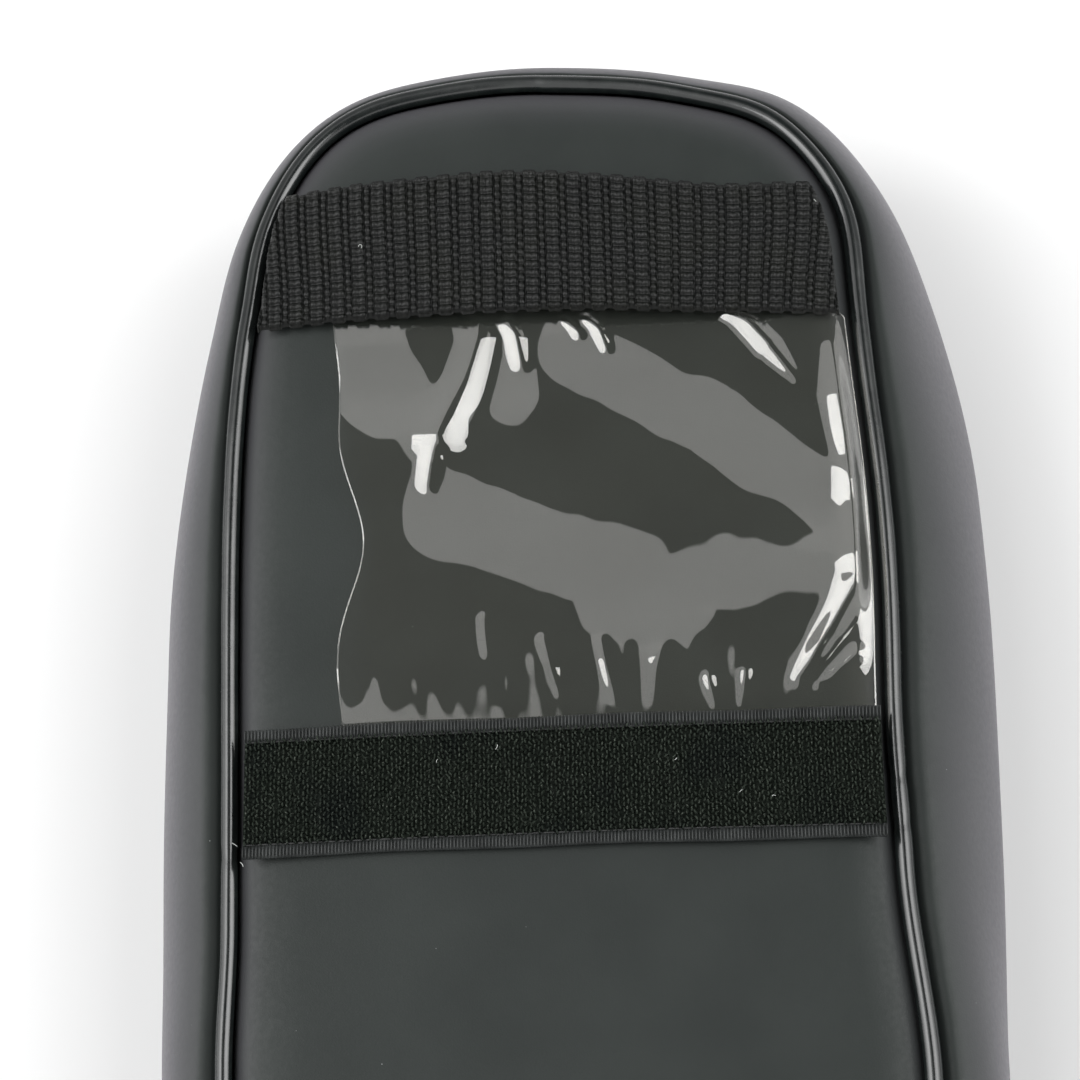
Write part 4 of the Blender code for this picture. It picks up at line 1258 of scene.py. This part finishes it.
def base_sheet():
    """Underside sheet with small non-slip domes."""
    depths = np.array([0.0, 0.6, 2.0, 5.0]) * MM
    drop = np.array([0.5, 0.15, 0.0, 0.0]) * MM
    top = filled(BASE_EDGE, depths, low_high("base_panel")[1][2] - drop, 280, 16)
    sheet("base_sheet", top, "base", UNDERSIDE, 1.0 * MM, ("base_panel",))
    xs = np.arange(-15, 16) * DOME_PITCH
    ys = np.arange(-34, 35) * DOME_PITCH * math.sqrt(0.75)
    gx, gy = np.meshgrid(xs, ys)
    gx = gx + (np.arange(len(ys)) % 2)[:, None] * DOME_PITCH / 2
    spots = np.stack([gx.ravel(), gy.ravel()], axis=1)
    nearest = np.array([np.argmin(np.sum((OUTLINE - spot) ** 2, axis=1)) for spot in spots])
    inside = np.sum((OUTLINE[nearest] - spots) * OUTWARD[nearest], axis=1) > DOME_MARGIN
    spots = spots[inside]
    turn = np.arange(8) * math.pi / 4
    ring = np.stack([np.cos(turn), np.sin(turn), 0 * turn], axis=1)
    dome = np.concatenate([ring * radius * MM + (0, 0, z * MM) for radius, z in DOME_RINGS])
    faces = [grid_faces(3, 8, wrap_v=True), np.arange(8)[None, ::-1], (16 + np.arange(8))[None, :]]
    origins = np.concatenate([spots, np.zeros((len(spots), 1))], axis=1)
    points, many = copies(dome, faces, origins, np.tile(np.eye(3), (len(spots), 1, 1)))
    loose("non_slip_domes", points, many, "base", UNDERSIDE)


def base_stitching():
    """Row of stitches round the underside sheet."""
    path = around(np.linspace(0, 1, 900), np.array([BASE_SEAM]), BASE_SEAM_Z)[:, 0]
    stitch_run("base_sheet_stitch", path, (0.0, 0.0, -1.0), "base", THREAD)


ROUNDING = 0.4 * MM


def dress_cad():
    """Materials and small edge rounding for the CAD parts that stay in view."""
    looks = {"base_board": BOARD}
    for _, side in SIDES:
        looks[f"magnet_front_{side}"] = FERRITE
        looks[f"magnet_rear_{side}"] = FERRITE
        looks[f"slider_{side}"] = ZINC
        looks[f"pull_tab_{side}"] = ZINC
    for node, surface in looks.items():
        obj = frame["nodes"][node]
        if not obj.material_slots:
            obj.data.materials.append(surface)
        for place in obj.material_slots:
            place.material = surface
        rounding = obj.modifiers.new("rounding", "BEVEL")
        rounding.width = ROUNDING
        rounding.segments = 3
        rounding.limit_method = "ANGLE"
        rounding.angle_limit = math.radians(35)


GRIP_STEPS = (8.2, 10.0, 11.8, 13.6, 15.4)  # along the tab from its pin, in mm
GRIP_SIZE = (4.6 * MM, 0.42 * MM, 0.3 * MM)
HOLE_STEP, HOLE_RADIUS, HOLE_RIM = 19.5 * MM, 2.0 * MM, 0.36 * MM


def tab_grips():
    """Raised grip bars across each pull tab, and the rim round its end hole."""
    for side, name in SIDES:
        pin = np.array(JOINTS[f"pull_hinge_{name}"]["pos_m"])
        turn = math.atan2(pin[0], WIDE_Y + CROWN - pin[1])
        along, rise, out = wall_axes(np.array([math.sin(turn), -math.cos(turn), 0.0]))
        shape, faces = capsule(*GRIP_SIZE, 8)
        places = np.array([pin + along * side * step * MM + out * 0.62 * MM for step in GRIP_STEPS])
        axes = np.tile(np.stack([rise, -along, out]), (len(places), 1, 1))
        round_hole = np.linspace(0, 2 * math.pi, 29)[:, None]
        centre = pin + along * side * HOLE_STEP + out * 0.6 * MM
        loop = centre + HOLE_RADIUS * (np.cos(round_hole) * along + np.sin(round_hole) * rise)
        points, many = joined(*copies(shape, faces, places, axes), *threads(loop[None], HOLE_RIM, 8))
        loose(f"pull_tab_grip_{name}", points, many, f"zip_pull_{name}", ZINC)


# ------------------------------------------------------------------ stage


FLOOR_HALF = 3.0
FLOOR_Z = -0.3 * MM
PALE = 0.9


def floor():
    """Plain pale floor under the bag."""
    corners = [(x * FLOOR_HALF, y * FLOOR_HALF, FLOOR_Z) for x, y in ((-1, -1), (1, -1), (1, 1), (-1, 1))]
    mesh = mesh_of("floor", corners, [np.array([[0, 1, 2, 3]])])
    obj = bpy.data.objects.new("floor", mesh)
    show(obj)
    paint = bpy.data.materials.new("floor_white")
    paint.use_nodes = True
    look = Tree(paint.node_tree)
    shader = look.tree.nodes["Principled BSDF"]
    look.put(shader.inputs["Base Color"], (PALE, PALE, PALE))
    look.put(shader.inputs["Roughness"], 0.9)
    mesh.materials.append(paint)


VIEW_TILT = math.radians(18)
VIEW_TURN = math.radians(7)
VIEW_ROLL = math.radians(-1.5)
VIEW_DISTANCE = 0.700
VIEW_LENS = 121.3
VIEW_TARGET = Vector((-0.0026, 0.0327, LID_Z))


def camera():
    """The view down on the lid, leaned a little towards the wide end and to the right."""
    level = math.cos(VIEW_TURN)
    back = Vector((math.sin(VIEW_TURN), -math.sin(VIEW_TILT) * level, math.cos(VIEW_TILT) * level))
    up = (Vector((0, 1, 0)) - back * back.y).normalized()
    right = up.cross(back)
    turned_right = right * math.cos(VIEW_ROLL) + up * math.sin(VIEW_ROLL)
    turned_up = -right * math.sin(VIEW_ROLL) + up * math.cos(VIEW_ROLL)
    matrix = Matrix((turned_right, turned_up, back)).transposed().to_4x4()
    matrix.translation = VIEW_TARGET + back * VIEW_DISTANCE
    data = bpy.data.cameras.new("camera")
    data.sensor_width = 36
    data.lens = VIEW_LENS
    data.clip_start = 0.01
    obj = bpy.data.objects.new("camera", data)
    obj.matrix_world = matrix
    show(obj)
    bpy.context.scene.camera = obj


SOFT_SIZE = (0.8, 1.5)
SOFT_POWER = 13
SOFT_PLACE = (0.95, 0.1, 0.8)
SOFT_AIM = Vector((0.0, 0.03, 0.05))
ROOM_LEVEL = 0.85
PATCH_SHADE = 0.94
CEILING_PATCH = ((0.28, 0.4, 0.012), (0.35, 1.5, 0.02))  # along x and y: middle, half size, soft edge


def soft_box(name, side):
    """A large soft light on one side, aimed at the bag."""
    data = bpy.data.lights.new(name, "AREA")
    data.shape = "RECTANGLE"
    data.size, data.size_y = SOFT_SIZE
    data.energy = SOFT_POWER
    obj = bpy.data.objects.new(name, data)
    obj.location = Vector(SOFT_PLACE) * Vector((side, 1, 1))
    obj.rotation_euler = (SOFT_AIM - obj.location).to_track_quat("-Z", "Y").to_euler()
    show(obj)


def studio():
    """A pale room with a dark patch of ceiling overhead and a long soft box on each side."""
    scene = bpy.context.scene
    scene.view_settings.view_transform = "Standard"
    world = bpy.data.worlds.new("studio")
    scene.world = world
    world.use_nodes = True
    room = Tree(world.node_tree)
    split = room.add("ShaderNodeSeparateXYZ")
    room.put(split.inputs[0], room.add("ShaderNodeTexCoord").outputs["Generated"])
    height = room.math("MAXIMUM", split.outputs["Z"], 0.05)
    patch = 1.0
    for axis, (middle, half, soft) in zip("XY", CEILING_PATCH):
        place = room.math("DIVIDE", split.outputs[axis], height)
        away = room.math("ABSOLUTE", room.math("SUBTRACT", place, middle))
        patch = room.math("MULTIPLY", patch, room.ramp(away, half + soft, half - soft))
    level = room.math("SUBTRACT", 1.0, room.math("MULTIPLY", patch, PATCH_SHADE))
    background = room.tree.nodes["Background"]
    room.put(background.inputs["Color"], (1.0, 1.0, 1.0))
    room.put(background.inputs["Strength"], room.math("MULTIPLY", level, ROOM_LEVEL))
    for side, name in SIDES:
        soft_box(f"soft_box_{name}", side)


def main():
    lid_panel()
    lid_foam()
    flat_lining("lid_lining", "top_lining", LID_LINING_EDGE, "lid")
    piping("lid_piping", 0.0, BEAD_Z, 0.0, "lid", ("top_piping",), PINCHES)
    binding("lid_seam_binding", 0.0, BEAD_Z, 0.0, "lid", ("top_seam_binding",))
    side_wall()
    inner_side()
    zip_tapes()
    zip_coil()
    zip_ends()
    fabric_hinge()
    webbing_strap()
    loop_tape_ground()
    loop_tape_pile()
    loop_tape_seams()
    document_film()
    lint()
    lower_wall()
    base_low, base_high = low_high("base_piping")
    base_offset = base_high[0] - CAD_BEAD - SEAM_X
    base_z = (base_low[2] + base_high[2]) / 2
    piping("base_piping_bead", base_offset, base_z, -math.pi / 2, "base", ("base_piping",))
    binding("base_binding", base_offset, base_z, -math.pi / 2, "base", ("base_seam_binding",))
    flat_lining("base_floor_lining", "base_lining", FLOOR_LINING_EDGE, "base", FLOOR_LINING_RISE)
    base_sheet()
    base_stitching()
    dress_cad()
    tab_grips()
    floor()
    studio()
    camera()


main()
